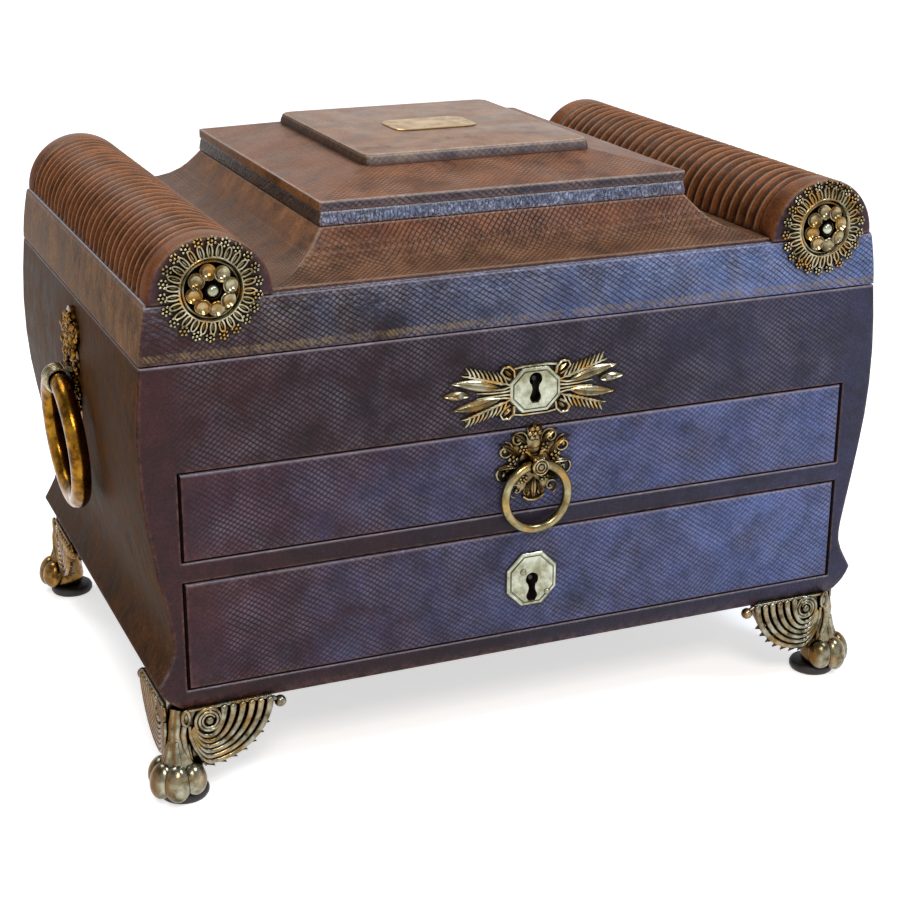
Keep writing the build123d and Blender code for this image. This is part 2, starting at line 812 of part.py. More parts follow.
# Ring handles on the ends: pierced plate, strap eye and a ring that rests leaning in under the swell
swell_x = body_width / 2 + max(reach for share, reach in swell_profile)
handle_face_x = swell_x + handle_plate_thickness
handle_ring_x = handle_face_x + handle_tube_radius + handle_clearance
handle_eye_z = seam_z - handle_eye_drop
eye_hole = handle_tube_radius + eye_clearance
for side, side_name in ((-1, "left"), (1, "right")):
    plate_middle = (side * handle_face_x, 0, seam_z - handle_drop)
    facing = Plane(origin=plate_middle, x_dir=(0, side, 0), z_dir=(side, 0, 0))
    with BuildPart() as handle_plate:
        with BuildSketch(facing):
            for y, z, r in handle_lobes:
                with Locations((y, z)):
                    Circle(r)
            for y, z, r in handle_holes:
                with Locations((y, z)):
                    Circle(r, mode=Mode.SUBTRACT)
        extrude(amount=-(handle_face_x - body_width / 2 + handle_plate_root))
        add(end_boards[side], mode=Mode.SUBTRACT)
    save(handle_plate, "handle_plate_" + side_name)
    with BuildPart() as handle_eye:
        eye_outer = eye_hole + eye_wall
        near_x, far_x = sorted((side * handle_face_x, side * handle_ring_x))
        block(
            (near_x, -handle_eye_width / 2, handle_eye_z - eye_outer),
            (far_x, handle_eye_width / 2, handle_eye_z + eye_outer),
        )
        with Locations(Location((side * handle_ring_x, 0, handle_eye_z), (90, 0, 0))):
            Cylinder(eye_outer, handle_eye_width)
            Cylinder(eye_hole, handle_eye_width, mode=Mode.SUBTRACT)
        with Locations((side * (handle_face_x - eye_outer / 2), 0, handle_eye_z)):
            Box(eye_outer, handle_eye_width, 2 * eye_outer, mode=Mode.SUBTRACT)
    save(handle_eye, "handle_eye_" + side_name)
    with BuildPart() as handle_ring:
        with Locations(Location((side * handle_ring_x, 0, handle_eye_z), (0, side * handle_lean, 0))):
            with Locations(Location((0, 0, -handle_ring_radius), (0, 90, 0))):
                Torus(handle_ring_radius, handle_tube_radius)
    save(handle_ring, "handle_ring_" + side_name)


def drawer(name, floor_z, ceiling_z, depth_y, locked):
    """Front, box and bottom of one drawer between the given floor and ceiling."""
    low_z = floor_z + runner_gap
    high_z = ceiling_z - drawer_top_gap
    outer = inner_x - drawer_side_gap
    inner = outer - drawer_side_thickness
    box_front_y = front_y + drawer_front_thickness
    with BuildPart() as front:
        block((-outer, front_y, low_z), (outer, box_front_y, high_z))
        if locked:
            cut_keyhole(ceiling_z - drawer_key_depth, front_y, box_front_y)
    save(front, name + "_front")
    with BuildPart() as box:
        for side in (-1, 1):
            block(
                (min(side * inner, side * outer), box_front_y, low_z),
                (max(side * inner, side * outer), depth_y, high_z - drawer_box_drop),
            )
        block((-inner, depth_y - drawer_side_thickness, low_z), (inner, depth_y, high_z - drawer_box_drop))
    save(box, name + "_box")
    with BuildPart() as bottom:
        back_inside_y = depth_y - drawer_side_thickness
        block((-inner, box_front_y, low_z), (inner, back_inside_y, low_z + drawer_bottom_thickness))
    save(bottom, name + "_bottom")
    return inner, low_z + drawer_bottom_thickness, back_inside_y


drawer_end_y = panel_y - drawer_back_gap
drawer("upper_drawer", upper_floor_z, rail_z, drawer_end_y, False)
desk_x, desk_z, desk_back_y = drawer("lower_drawer", lower_floor_z, divider_z, drawer_end_y, True)

# Ring pull on the upper drawer
pull_z = rail_z - pull_drop
pull_face_y = front_y - pull_thickness
pull_ring_y = pull_face_y - pull_tube_radius - ring_clearance
pull_hole = pull_tube_radius + eye_clearance
with BuildPart() as pull_plate:
    with BuildSketch(across(front_y, 0, pull_z)):
        for x, z, r in pull_lobes:
            with Locations((x, z)):
                Circle(r)
        for x, z, r in pull_holes:
            with Locations((x, z)):
                Circle(r, mode=Mode.SUBTRACT)
    extrude(amount=pull_thickness)
save(pull_plate, "pull_plate")

with BuildPart() as pull_eye:
    pull_outer = pull_hole + eye_wall
    block(
        (-pull_eye_width / 2, pull_ring_y, pull_z - pull_outer),
        (pull_eye_width / 2, pull_face_y, pull_z + pull_outer),
    )
    with Locations(Location((0, pull_ring_y, pull_z), (0, 90, 0))):
        Cylinder(pull_outer, pull_eye_width)
        Cylinder(pull_hole, pull_eye_width, mode=Mode.SUBTRACT)
    with Locations((0, pull_face_y + pull_outer / 2, pull_z)):
        Box(pull_eye_width, pull_outer, 2 * pull_outer, mode=Mode.SUBTRACT)
save(pull_eye, "pull_eye")

with BuildPart() as pull_ring:
    with Locations(Location((0, pull_ring_y, pull_z - pull_ring_radius), (90, 0, 0))):
        Torus(pull_ring_radius, pull_tube_radius)
save(pull_ring, "pull_ring")

# Lock, bolt and escutcheon of the writing drawer
drawer_key_z = divider_z - drawer_key_depth
drawer_lock_top_z = divider_z - drawer_top_gap - slot_clearance
drawer_lock_back_y = drawer_lock_y + lock_thickness
drawer_lock_low_z = drawer_lock_top_z - lock_height
bolt_slot_x = bolt_width / 2 + lock_clearance
bolt_slot_y = bolt_depth / 2 + lock_clearance
with BuildPart() as drawer_lock:
    block(
        (-lock_width / 2, drawer_lock_y, drawer_lock_low_z),
        (lock_width / 2, drawer_lock_back_y, drawer_lock_top_z),
    )
    pocket(
        (-lock_width / 2 + lock_wall, drawer_lock_y + lock_wall, drawer_lock_low_z + lock_wall),
        (lock_width / 2 - lock_wall, drawer_lock_back_y - lock_wall, drawer_lock_top_z - lock_wall),
    )
    pocket(
        (-bolt_slot_x, drawer_bolt_y - bolt_slot_y, drawer_lock_top_z - lock_wall),
        (bolt_slot_x, drawer_bolt_y + bolt_slot_y, drawer_lock_top_z),
    )
    cut_keyhole(drawer_key_z, drawer_lock_y, drawer_lock_y + lock_wall)
    with BuildSketch(across(drawer_lock_back_y - lock_wall, 0, drawer_key_z)):
        Circle(post_radius)
    extrude(amount=drawer_lock_back_y - lock_wall - front_y - post_sink)
save(drawer_lock, "drawer_lock")

tail_top_z = drawer_lock_top_z - lock_wall - bolt_throw - lock_clearance
with BuildPart() as drawer_lock_bolt:
    block(
        (-bolt_width / 2, drawer_bolt_y - bar_reach, tail_top_z - bolt_tail),
        (bolt_width / 2, drawer_bolt_y + bar_reach, tail_top_z),
    )
    block(
        (-bolt_width / 2, drawer_bolt_y - bolt_depth / 2, tail_top_z),
        (bolt_width / 2, drawer_bolt_y + bolt_depth / 2, drawer_lock_top_z),
    )
save(drawer_lock_bolt, "drawer_lock_bolt")

with BuildPart() as drawer_escutcheon:
    with BuildSketch(across(front_y, 0, drawer_key_z)) as plate:
        Rectangle(escutcheon_width, drawer_escutcheon_height)
        chamfer(plate.vertices(), escutcheon_cut)
    extrude(amount=escutcheon_thickness)
    cut_keyhole(drawer_key_z, front_y - escutcheon_thickness, front_y)
    with BuildSketch(across(front_y - escutcheon_thickness, 0, drawer_key_z)):
        for x, z in drawer_pins:
            with Locations((x, z)):
                Circle(pin_radius)
    extrude(amount=pin_head)
save(drawer_escutcheon, "drawer_escutcheon")

# Lift-out tray on two ledges in the top compartment
tray_x = inner_x - tray_gap
tray_low_y = rail_back_y + tray_gap
tray_high_y = panel_y - tray_gap
tray_top_z = seam_z - tray_sink
tray_z = tray_top_z - tray_height
with BuildPart() as tray_ledges:
    for side in (-1, 1):
        block(
            (min(side * inner_x, side * (inner_x - tray_ledge_width)), rail_back_y, floor_top_z),
            (max(side * inner_x, side * (inner_x - tray_ledge_width)), panel_y, tray_z - rest_gap),
        )
save(tray_ledges, "tray_ledges")

with BuildPart() as lift_out_tray:
    block((-tray_x, tray_low_y, tray_z), (tray_x, tray_high_y, tray_top_z))
    cell_x = (2 * tray_x - (tray_columns + 1) * tray_wall) / tray_columns
    cell_y = (tray_high_y - tray_low_y - (tray_rows + 1) * tray_wall) / tray_rows
    with Locations((0, (tray_low_y + tray_high_y) / 2, (tray_z + tray_bottom + tray_top_z) / 2)):
        with GridLocations(cell_x + tray_wall, cell_y + tray_wall, tray_columns, tray_rows):
            Box(cell_x, cell_y, tray_height - tray_bottom, mode=Mode.SUBTRACT)
save(lift_out_tray, "lift_out_tray")

# Writing flap on its pin, the divider it rests on, the pen tray and the inkwell
flap_pin_y = drawer_lock_back_y + flap_gap + flap_thickness / 2
flap_z = desk_z + paper_height
flap_pin_z = flap_z + flap_thickness / 2
flap_x = desk_x - flap_gap
flap_end_y = desk_back_y - pen_tray_depth - divider_wall - rest_gap
with BuildPart() as writing_flap:
    block((-flap_x, flap_pin_y, flap_z), (flap_x, flap_end_y, flap_z + flap_thickness))
    with Locations(Location((0, flap_pin_y, flap_pin_z), (0, 90, 0))):
        Cylinder(flap_thickness / 2, 2 * flap_x)
        Cylinder(flap_pin_radius + flap_pin_fit, 2 * flap_x, mode=Mode.SUBTRACT)
save(writing_flap, "writing_flap")

with BuildPart() as flap_pin:
    with Locations(Location((0, flap_pin_y, flap_pin_z), (0, 90, 0))):
        Cylinder(flap_pin_radius, 2 * desk_x)
save(flap_pin, "flap_pin")

wall_y = flap_end_y + rest_gap
with BuildPart() as desk_divider:
    block((-desk_x, wall_y, desk_z), (desk_x, wall_y + divider_wall, desk_z + divider_height))
    block((-desk_x, wall_y - ledge_width, desk_z), (desk_x, wall_y, flap_z - rest_gap))
save(desk_divider, "desk_divider")

pen_low_y = wall_y + divider_wall
pen_middle_y = (pen_low_y + desk_back_y) / 2
ink_x = desk_x - ink_size / 2 - ink_margin
ink_z = desk_z + ink_floor
groove_end_x = ink_x - ink_size / 2 - ink_margin
with BuildPart() as pen_tray:
    block((-desk_x, pen_low_y, desk_z), (desk_x, desk_back_y, desk_z + pen_tray_height))
    groove_length = groove_end_x + desk_x - ink_margin
    groove_x = (groove_end_x - desk_x + ink_margin) / 2
    with Locations(Location((groove_x, pen_middle_y, desk_z + pen_tray_height), (0, 90, 0))):
        Cylinder(pen_groove_radius, groove_length, mode=Mode.SUBTRACT)
    with Locations((ink_x, pen_middle_y, ink_z + pen_tray_height / 2)):
        Box(ink_size + 2 * rest_gap, ink_size + 2 * rest_gap, pen_tray_height, mode=Mode.SUBTRACT)
save(pen_tray, "pen_tray")

ink_top_z = ink_z + ink_height
neck_top_z = ink_top_z + ink_neck_height
with BuildPart() as inkwell:
    with Locations((ink_x, pen_middle_y, ink_z + ink_height / 2)):
        Box(ink_size, ink_size, ink_height)
        Box(ink_size - 2 * ink_wall, ink_size - 2 * ink_wall, ink_height - 2 * ink_wall, mode=Mode.SUBTRACT)
    with Locations((ink_x, pen_middle_y, ink_top_z + ink_neck_height / 2)):
        Cylinder(ink_neck_radius, ink_neck_height)
    with Locations((ink_x, pen_middle_y, neck_top_z - ink_neck_height / 2 - ink_wall / 2)):
        Cylinder(ink_neck_radius - ink_wall, ink_neck_height + ink_wall, mode=Mode.SUBTRACT)
save(inkwell, "inkwell")

with BuildPart() as inkwell_cap:
    cap_low_z = neck_top_z - ink_cap_height / 2
    with Locations((ink_x, pen_middle_y, cap_low_z + ink_cap_height / 2)):
        Cylinder(ink_cap_radius, ink_cap_height)
    with Locations((ink_x, pen_middle_y, cap_low_z + ink_cap_height / 4)):
        Cylinder(ink_neck_radius + cap_fit, ink_cap_height / 2, mode=Mode.SUBTRACT)
save(inkwell_cap, "inkwell_cap")
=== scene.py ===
import bpy
import bmesh
import random
from math import copysign, cos, pi, radians, sin
from mathutils import Matrix, Vector


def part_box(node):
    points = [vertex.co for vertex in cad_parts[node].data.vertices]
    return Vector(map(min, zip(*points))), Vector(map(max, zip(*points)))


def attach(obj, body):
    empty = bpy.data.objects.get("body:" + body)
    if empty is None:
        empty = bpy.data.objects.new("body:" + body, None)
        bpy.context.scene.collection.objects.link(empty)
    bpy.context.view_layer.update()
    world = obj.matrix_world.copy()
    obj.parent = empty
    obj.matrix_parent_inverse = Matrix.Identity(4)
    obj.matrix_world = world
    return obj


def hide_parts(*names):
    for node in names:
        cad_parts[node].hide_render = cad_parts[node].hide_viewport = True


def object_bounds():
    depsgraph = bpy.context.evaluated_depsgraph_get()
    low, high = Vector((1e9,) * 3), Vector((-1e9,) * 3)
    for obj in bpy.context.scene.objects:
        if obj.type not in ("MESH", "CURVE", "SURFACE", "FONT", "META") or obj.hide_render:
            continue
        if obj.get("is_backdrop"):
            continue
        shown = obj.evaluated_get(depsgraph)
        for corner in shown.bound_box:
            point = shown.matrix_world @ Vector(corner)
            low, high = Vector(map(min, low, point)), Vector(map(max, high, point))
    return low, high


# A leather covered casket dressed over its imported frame. Shapes are worked out in millimetres and
# become metres when a piece is made. The frame's own boxes give the places that the pieces sit on.
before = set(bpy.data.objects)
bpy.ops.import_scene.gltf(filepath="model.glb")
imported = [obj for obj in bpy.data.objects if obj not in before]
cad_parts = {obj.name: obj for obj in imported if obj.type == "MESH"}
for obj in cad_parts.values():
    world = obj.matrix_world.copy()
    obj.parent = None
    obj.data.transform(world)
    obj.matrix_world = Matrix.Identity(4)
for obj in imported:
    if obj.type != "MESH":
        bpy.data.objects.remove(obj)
solid_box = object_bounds()
MM = 0.001
TAU = 2 * pi
SIDES = ((-1, "left"), (1, "right"))


def low(node):
    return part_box(node)[0] / MM


def high(node):
    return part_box(node)[1] / MM


front_y = low("top_rail").y
back_y = high("back_panel").y
seam_z = high("top_rail").z
rail_z = low("top_rail").z
inner_x = high("top_rail").x
rail_back_y = high("top_rail").y
panel_y = low("back_panel").y
divider_low_z = low("drawer_divider").z
divider_high_z = high("drawer_divider").z
base_z = low("base_board").z
base_high_z = low("back_panel").z
foot_z = low("left_end_board").z
lid_z = low("lid_front").z
lid_top_z = high("lid_front").z
lid_board_z = low("lid_top_board").z
step_z = low("step_plate").z
half_wide, half_deep, corner = 150.0, -front_y, 0.9
lid_key_z = seam_z - 21.2
drawer_key_z = divider_low_z - 20.9
pull_eye_z = rail_z - 14.5

# Reach of the end boards beyond the seam's width, by share of their height below the seam
swell = ((0.0, 0.0), (0.11, 1.35), (0.22, 2.1), (0.34, 1.95), (0.45, 0.9), (0.55, -0.85), (0.655, -3.0),
         (0.75, -5.1), (0.83, -6.8), (0.865, -7.2), (0.895, -7.0), (0.93, -5.5), (0.965, -3.2), (1.0, -0.7))

# Hinge leaves: middle, half length and depth of their cuts
hinge_x, hinge_half, hinge_deep = 90, 17, 7.5

# How far a cut runs on past the surface, and how far a face may lie off the plane that tells its side
beyond, slack = 5, 0.05

# Bolsters: middle, radius, plain band at each end, and the reeds between the bands
roll_x, roll_radius, reed_band, reeds = 123.5, 22.5, 11.0, 28
reed_pitch = (2 * half_deep - 2 * reed_band) / reeds

# Handles: the eye's reach beyond its ring's axis, the ring's radius and tube, and its lean at rest
handle_eye_reach, handle_ring, handle_tube, handle_lean = 5.7, 25.0, 3.95, radians(4.0)

# Feet, from the foot's own corner: eye of the wing's volute, middle of the paw and reach of its toes
volute = (15.1, -4.9)
paw_in, paw_reach = 3.6, 12.0


def linear(hex_colour):
    """An sRGB hex colour as the linear values that a shader takes."""
    parts = [int(hex_colour[k:k + 2], 16) / 255 for k in (1, 3, 5)]
    return [c / 12.92 if c <= 0.04045 else ((c + 0.055) / 1.055) ** 2.4 for c in parts] + [1.0]


def feed(tree, node, inputs):
    """Gives each input of a node a value or another node's socket."""
    for socket, value in inputs.items():
        if isinstance(value, bpy.types.NodeSocket):
            tree.links.new(value, node.inputs[socket])
        else:
            node.inputs[socket].default_value = value


def add(tree, kind, inputs=None, **settings):
    """One shader node: settings go on the node, and each input is a value or another node's socket."""
    node = tree.nodes.new("ShaderNode" + kind)
    for key, value in settings.items():
        setattr(node, key, value)
    feed(tree, node, inputs or {})
    return node


def finish(name):
    """A new material with its shader: returns the material, its tree and the shader node."""
    material = bpy.data.materials.new(name)
    material.use_nodes = True
    tree = material.node_tree
    return material, tree, tree.nodes["Principled BSDF"]


def polar(reach, turn, middle=(0.0, 0.0)):
    """First two coordinates of a point round a middle."""
    return middle[0] + reach * cos(turn), middle[1] + reach * sin(turn)


def turns(count, start=0.0):
    """Angles of a full turn in even steps."""
    return [TAU * (k + start) / count for k in range(count)]


def corners(x, y, far_x, far_y):
    """A rectangle's four corners in turn."""
    return (x, y), (far_x, y), (far_x, far_y), (x, far_y)


def moved(seat, x, y, z=0.0):
    """A seat shifted along its own axes."""
    return seat @ Matrix.Translation((x, y, z))


class Form:
    """Points and faces of one piece, in millimetres."""

    def __init__(self):
        self.points = []
        self.faces = []

    def loft(self, rings, seat=None, ends=True):
        """Skin over rings of equally many points, with its ends closed."""
        base, count = len(self.points), len(rings[0])
        self.points += [seat @ Vector(point) if seat else Vector(point) for ring in rings for point in ring]
        for row in range(len(rings) - 1):
            for k in range(count):
                a = base + row * count + k
                b = base + row * count + (k + 1) % count
                self.faces.append((a, b, b + count, a + count))
        if ends:
            self.faces.append(tuple(base + k for k in reversed(range(count))))
            self.faces.append(tuple(base + (len(rings) - 1) * count + k for k in range(count)))

    def slab(self, outline, heights, seat=None):
        """The same outline at each height."""
        self.loft([[(x, y, z) for x, y in outline] for z in heights], seat)

    def turned(self, profile, seat, sides):
        """Round piece about the seat's third axis; profile is radius and height pairs."""
        self.loft([[(*polar(radius, turn), height) for turn in turns(sides)] for radius, height in profile], seat)

    def hoop(self, profile, seat, sides):
        """Ring with a closed profile of radius and height pairs, about the seat's third axis."""
        self.loft([[(*polar(radius, turn), height) for radius, height in profile] for turn in turns(sides) + [TAU]],
                  seat, ends=False)

    def wire(self, path, radius, seat, sides=6, closed=False):
        """Wire along a path of points, with one thickness or one for each point."""
        path = [Vector(p) for p in path]
        count = len(path)
        rings = []
        for i, point in enumerate(path):
            ahead = path[(i + 1) % count] if closed else path[min(i + 1, count - 1)]
            behind = path[i - 1] if closed else path[max(i - 1, 0)]
            along = (ahead - behind).normalized()
            side = along.cross(Vector((0, 0, 1)))
            if side.length < 0.01:
                side = along.cross(Vector((0, 1, 0)))
            side.normalize()
            lift = side.cross(along)
            thick = radius[i] if isinstance(radius, (list, tuple)) else radius
            rings.append([point + side * (thick * cos(t)) + lift * (thick * sin(t)) for t in turns(sides)])
        if closed:
            rings.append(rings[0])
        self.loft(rings, seat, ends=not closed)

    def ball(self, centre, size, seat, rows=4, sides=8):
        """Ball or egg with one size, or one for each axis."""
        size = size if isinstance(size, (list, tuple)) else (size, size, size)
        rings = []
        for row in range(rows + 1):
            rise = pi * ((row + 0.25) / (rows + 0.5) - 0.5)
            rings.append([(centre[0] + size[0] * cos(rise) * cos(t), centre[1] + size[1] * cos(rise) * sin(t),
                           centre[2] + size[2] * sin(rise)) for t in turns(sides)])
        self.loft(rings, seat)

    def leaf(self, start, tip, width, rise, seat, bend=0.0, steps=9, height=0.0):
        """Pointed leaf lying on the seat, crowned on both sides of a sunk midrib."""
        start, tip = Vector(start).to_3d(), Vector(tip).to_3d()
        along = tip - start
        side = Vector((-along.y, along.x, 0)).normalized()
        rings = []
        for k in range(steps + 1):
            t = k / steps
            middle = start + along * t + side * (bend * sin(pi * t))
            half = width / 2 * (0.12 + 0.88 * sin(pi * t**0.8) ** 0.8) * (1 - t**6) + 0.05
            top = rise * (0.35 + 0.65 * sin(pi * min(t + 0.12, 1.0)) ** 0.7)
            rings.append([middle + side * (half * across) + Vector((0, 0, height + top * lift)) for across, lift in (
                (-1, 0), (-0.8, 0.55), (-0.42, 1), (0, 0.5), (0.42, 1), (0.8, 0.55), (1, 0))])
        self.loft(rings, seat)

    def tier(self, loops, corner_steps):
        """Rounded rectangles one over the other: half width, half depth, height and corner radius."""
        rings = []
        for half_x, half_y, z, radius in loops:
            ring = []
            for quarter, (sx, sy) in enumerate(((1, 1), (-1, 1), (-1, -1), (1, -1))):
                middle = (sx * (half_x - radius), sy * (half_y - radius))
                for k in range(corner_steps + 1):
                    ring.append((*polar(radius, pi / 2 * (quarter + k / corner_steps), middle), z))
            rings.append(ring)
        self.loft(rings)


def seat_at(origin, right, up):
    """Turns a mount's own millimetres, right, up and out of the wall, into the casket's."""
    right, up = Vector(right), Vector(up)
    out = right.cross(up)
    return Matrix.Translation(Vector(origin)) @ Matrix((right, up, out)).transposed().to_4x4()


def on_front(x, z, y=front_y):
    """A seat that faces forwards."""
    return seat_at((x, y, z), (1, 0, 0), (0, 0, 1))


def mesh_of(name, form):
    """A form's mesh in metres, its points joined and its faces turned outwards."""
    mesh = bpy.data.meshes.new(name)
    mesh.from_pydata([tuple(p * MM) for p in form.points], [], form.faces)
    work = bmesh.new()
    work.from_mesh(mesh)
    bmesh.ops.remove_doubles(work, verts=work.verts, dist=1e-7)
    bmesh.ops.recalc_face_normals(work, faces=work.faces)
    work.to_mesh(mesh)
    work.free()
    piece = bpy.data.objects.new(name, mesh)
    bpy.context.scene.collection.objects.link(piece)
    return piece


def dress(piece, body, nodes, slot, round_edge=0.0, sharp=50, segments=3):
    """Smooth shading, rounded edges, body and replaced nodes of a piece; slot is not used."""
    mesh = piece.data
    mesh.polygons.foreach_set("use_smooth", [True] * len(mesh.polygons))
    mesh.set_sharp_from_angle(angle=radians(sharp))
    if round_edge:
        bevel = piece.modifiers.new("rounded", "BEVEL")
        bevel.width = round_edge * MM
        bevel.segments = segments
        bevel.limit_method = "ANGLE"
        bevel.angle_limit = radians(sharp)
        bevel.harden_normals = True
    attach(piece, body)
    if nodes:
        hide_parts(*nodes)


def make(name, form, material, body, nodes=(), slot="gilt_brass", round_edge=0.0, sharp=50):
    """One piece: its mesh, finish and body, the nodes that it stands for, and softened edges."""
    piece = mesh_of(name, form)
    piece.data.materials.append(material)
    dress(piece, body, nodes, slot, round_edge, sharp)


def hollowed(name, form, hollows, materials, inside):
    """A solid with forms taken out of it; faces that inside() names get the second finish."""
    piece = mesh_of(name, form)
    cutters = [mesh_of("hollow", hollow) for hollow in hollows]
    for cutter in cutters:
        cut = piece.modifiers.new("hollow", "BOOLEAN")
        cut.object = cutter
        cut.operation = "DIFFERENCE"
        cut.solver = "EXACT"
    bpy.context.view_layer.update()
    seen = piece.evaluated_get(bpy.context.evaluated_depsgraph_get())
    whole = bpy.data.meshes.new_from_object(seen)
    piece.modifiers.clear()
    piece.data = whole
    for cutter in cutters:
        bpy.data.objects.remove(cutter)
    whole.materials.clear()
    for material in materials:
        whole.materials.append(material)
    for face in whole.polygons:
        face.material_index = 1 if inside(Vector(face.center) / MM, face.normal) else 0
    return piece


def seen_ray(tree):
    """The kinds of ray, and 1 where the ray comes from the camera or a mirror."""
    ray = add(tree, "LightPath").outputs
    return ray, add(tree, "Math", {0: ray["Is Camera Ray"], 1: ray["Is Glossy Ray"]}, operation="MAXIMUM").outputs[0]


def studio():
    """Pale floor, soft lamps and the camera at the photograph's angle."""
    scene = bpy.context.scene
    scene.view_settings.view_transform = "Standard"
    room = bpy.data.worlds.new("pale room")
    scene.world = room
    room.use_nodes = True
    tree = room.node_tree
    tree.nodes.clear()
    ray, seen = seen_ray(tree)
    seen = add(tree, "Math", {0: seen, 1: ray["Is Transmission Ray"]}, operation="MAXIMUM").outputs[0]
    soft = add(tree, "Background", {"Color": linear("#f2f4f8"), "Strength": 0.4})
    # White up to 20 degrees above the horizon, then a grey ceiling for the metal to reflect
    height = add(tree, "SeparateXYZ", {0: add(tree, "TexCoord").outputs["Generated"]}).outputs[2]
    height = add(tree, "MapRange", {0: height, 1: 0.3, 2: 0.7}).outputs[0]
    walls = add(tree, "Mix", {0: height, 6: linear("#ffffff"), 7: linear("#8d8d90")}, data_type="RGBA").outputs[2]
    white = add(tree, "Background", {"Color": walls, "Strength": 1.0})
    both = add(tree, "MixShader", {0: seen, 1: soft.outputs[0], 2: white.outputs[0]})
    add(tree, "OutputWorld", {"Surface": both.outputs[0]})

    mesh = bpy.data.meshes.new("floor")
    sides, radius = 96, 7
    mesh.from_pydata([(*polar(radius, turn), 0) for turn in turns(sides)], [], [tuple(range(sides))])
    floor = bpy.data.objects.new("floor", mesh)
    scene.collection.objects.link(floor)
    # Matt white paper sheet: keeps the shadow, and is bright enough to pass for the white ground
    material, tree, shader = finish("white paper sheet")
    feed(tree, shader, {"Base Color": linear("#f4f4f4"), "Roughness": 0.9, "Specular IOR Level": 0.0})
    glow = add(tree, "Emission", {"Color": linear("#ffffff"), "Strength": 0.62})
    lift = add(tree, "AddShader", {0: shader.outputs[0], 1: glow.outputs[0]})
    both = add(tree, "MixShader", {0: seen_ray(tree)[1], 1: shader.outputs[0], 2: lift.outputs[0]})
    feed(tree, tree.nodes["Material Output"], {"Surface": both.outputs[0]})
    mesh.materials.append(material)
    floor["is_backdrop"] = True

    for name, place, power, size, tint in (
        ("key lamp", (-0.35, -1.3, 1.3), 12, 0.5, "#fff4e6"),
        ("window lamp", (0.8, -0.75, 1.6), 14, 0.5, "#dce8ff"),
        ("top lamp", (-0.5, 0.6, 1.7), 9, 0.8, "#ffffff"),
    ):
        lamp = bpy.data.lights.new(name, "AREA")
        lamp.energy = power
        lamp.size = size
        lamp.color = linear(tint)[:3]
        stand = bpy.data.objects.new(name, lamp)
        stand.location = place
        stand.rotation_euler = (Vector((0, 0, 0.1)) - Vector(place)).to_track_quat("-Z", "Y").to_euler()
        scene.collection.objects.link(stand)

    lens = bpy.data.cameras.new("camera")
    lens.lens = 74.11
    lens.sensor_width = 36
    lens.clip_end = 50
    camera = bpy.data.objects.new("camera", lens)
    place = (-0.2862, -0.7039, seam_z * MM + 0.1897)
    yaw, pitch, roll = radians(22.81), radians(19.87), radians(0.16)
    ahead = Vector((sin(yaw) * cos(pitch), cos(yaw) * cos(pitch), -sin(pitch)))
    right = Vector((cos(yaw), -sin(yaw), 0))
    up = right.cross(ahead)
    level, upright = right * cos(roll) + up * sin(roll), up * cos(roll) - right * sin(roll)
    camera.matrix_world = Matrix.Translation(place) @ Matrix((level, upright, -ahead)).transposed().to_4x4()
    scene.collection.objects.link(camera)
    scene.camera = camera


class Paint:
    """A new material, its places in millimetres, and the groups of nodes that the finishes share."""

    def __init__(self, name):
        self.material, self.tree, self.shader = finish(name)
        self.place = add(self.tree, "TexCoord").outputs
        self.mm = self.vector("SCALE", self.place["Object"], Scale=1 / MM)

    def math(self, operation, *values):
        return add(self.tree, "Math", dict(enumerate(values)), operation=operation).outputs[0]

    def times(self, product, *values):
        for value in values:
            product = self.math("MULTIPLY", product, value)
        return product

    def vector(self, operation, *values, **named):
        return add(self.tree, "VectorMath", {**dict(enumerate(values)), **named}, operation=operation).outputs[0]

    def parts(self, vector):
        return list(add(self.tree, "SeparateXYZ", {0: vector}).outputs)

    def away(self):
        """How far a face looks along each axis, on either side."""
        return self.parts(self.vector("ABSOLUTE", self.place["Normal"]))

    def ramp(self, value, low_in, high_in, low_out=0.0, high_out=1.0):
        return add(self.tree, "MapRange", {0: value, 1: low_in, 2: high_in, 3: low_out, 4: high_out}).outputs[0]

    def noise(self, size, detail=4.0, roughness=0.6, shift=0.0, where=None, output=0, **more):
        where = where or self.mm
        if shift:
            where = self.vector("ADD", where, (shift, shift, shift))
        return add(self.tree, "TexNoise", {"Vector": where, "Scale": 1 / size, "Detail": detail,
                                           "Roughness": roughness, **more}).outputs[output]

    def pick(self, share, first, second):
        """Mix of two numbers."""
        return add(self.tree, "Mix", {0: share, 2: first, 3: second}).outputs[0]

    def blend(self, share, first, second):
        """Mix of two colours, each a hex colour or a socket."""
        first, second = (linear(c) if isinstance(c, str) else c for c in (first, second))
        return add(self.tree, "Mix", {0: share, 6: first, 7: second}, data_type="RGBA").outputs[2]

    def nook(self, distance, samples):
        """How open a place is, 0 deep in a corner."""
        return add(self.tree, "AmbientOcclusion", {"Distance": distance * MM}, samples=samples).outputs[1]

    def coat(self, colour, rough, height, relief, more):
        """Gives the shader its colour, roughness, bumps that are relief deep, and more; the material is done."""
        bump = add(self.tree, "Bump", {"Height": height, "Strength": 1.0, "Distance": relief * MM}).outputs[0]
        feed(self.tree, self.shader, {"Base Color": colour, "Roughness": rough, "Normal": bump, **more})
        return self.material


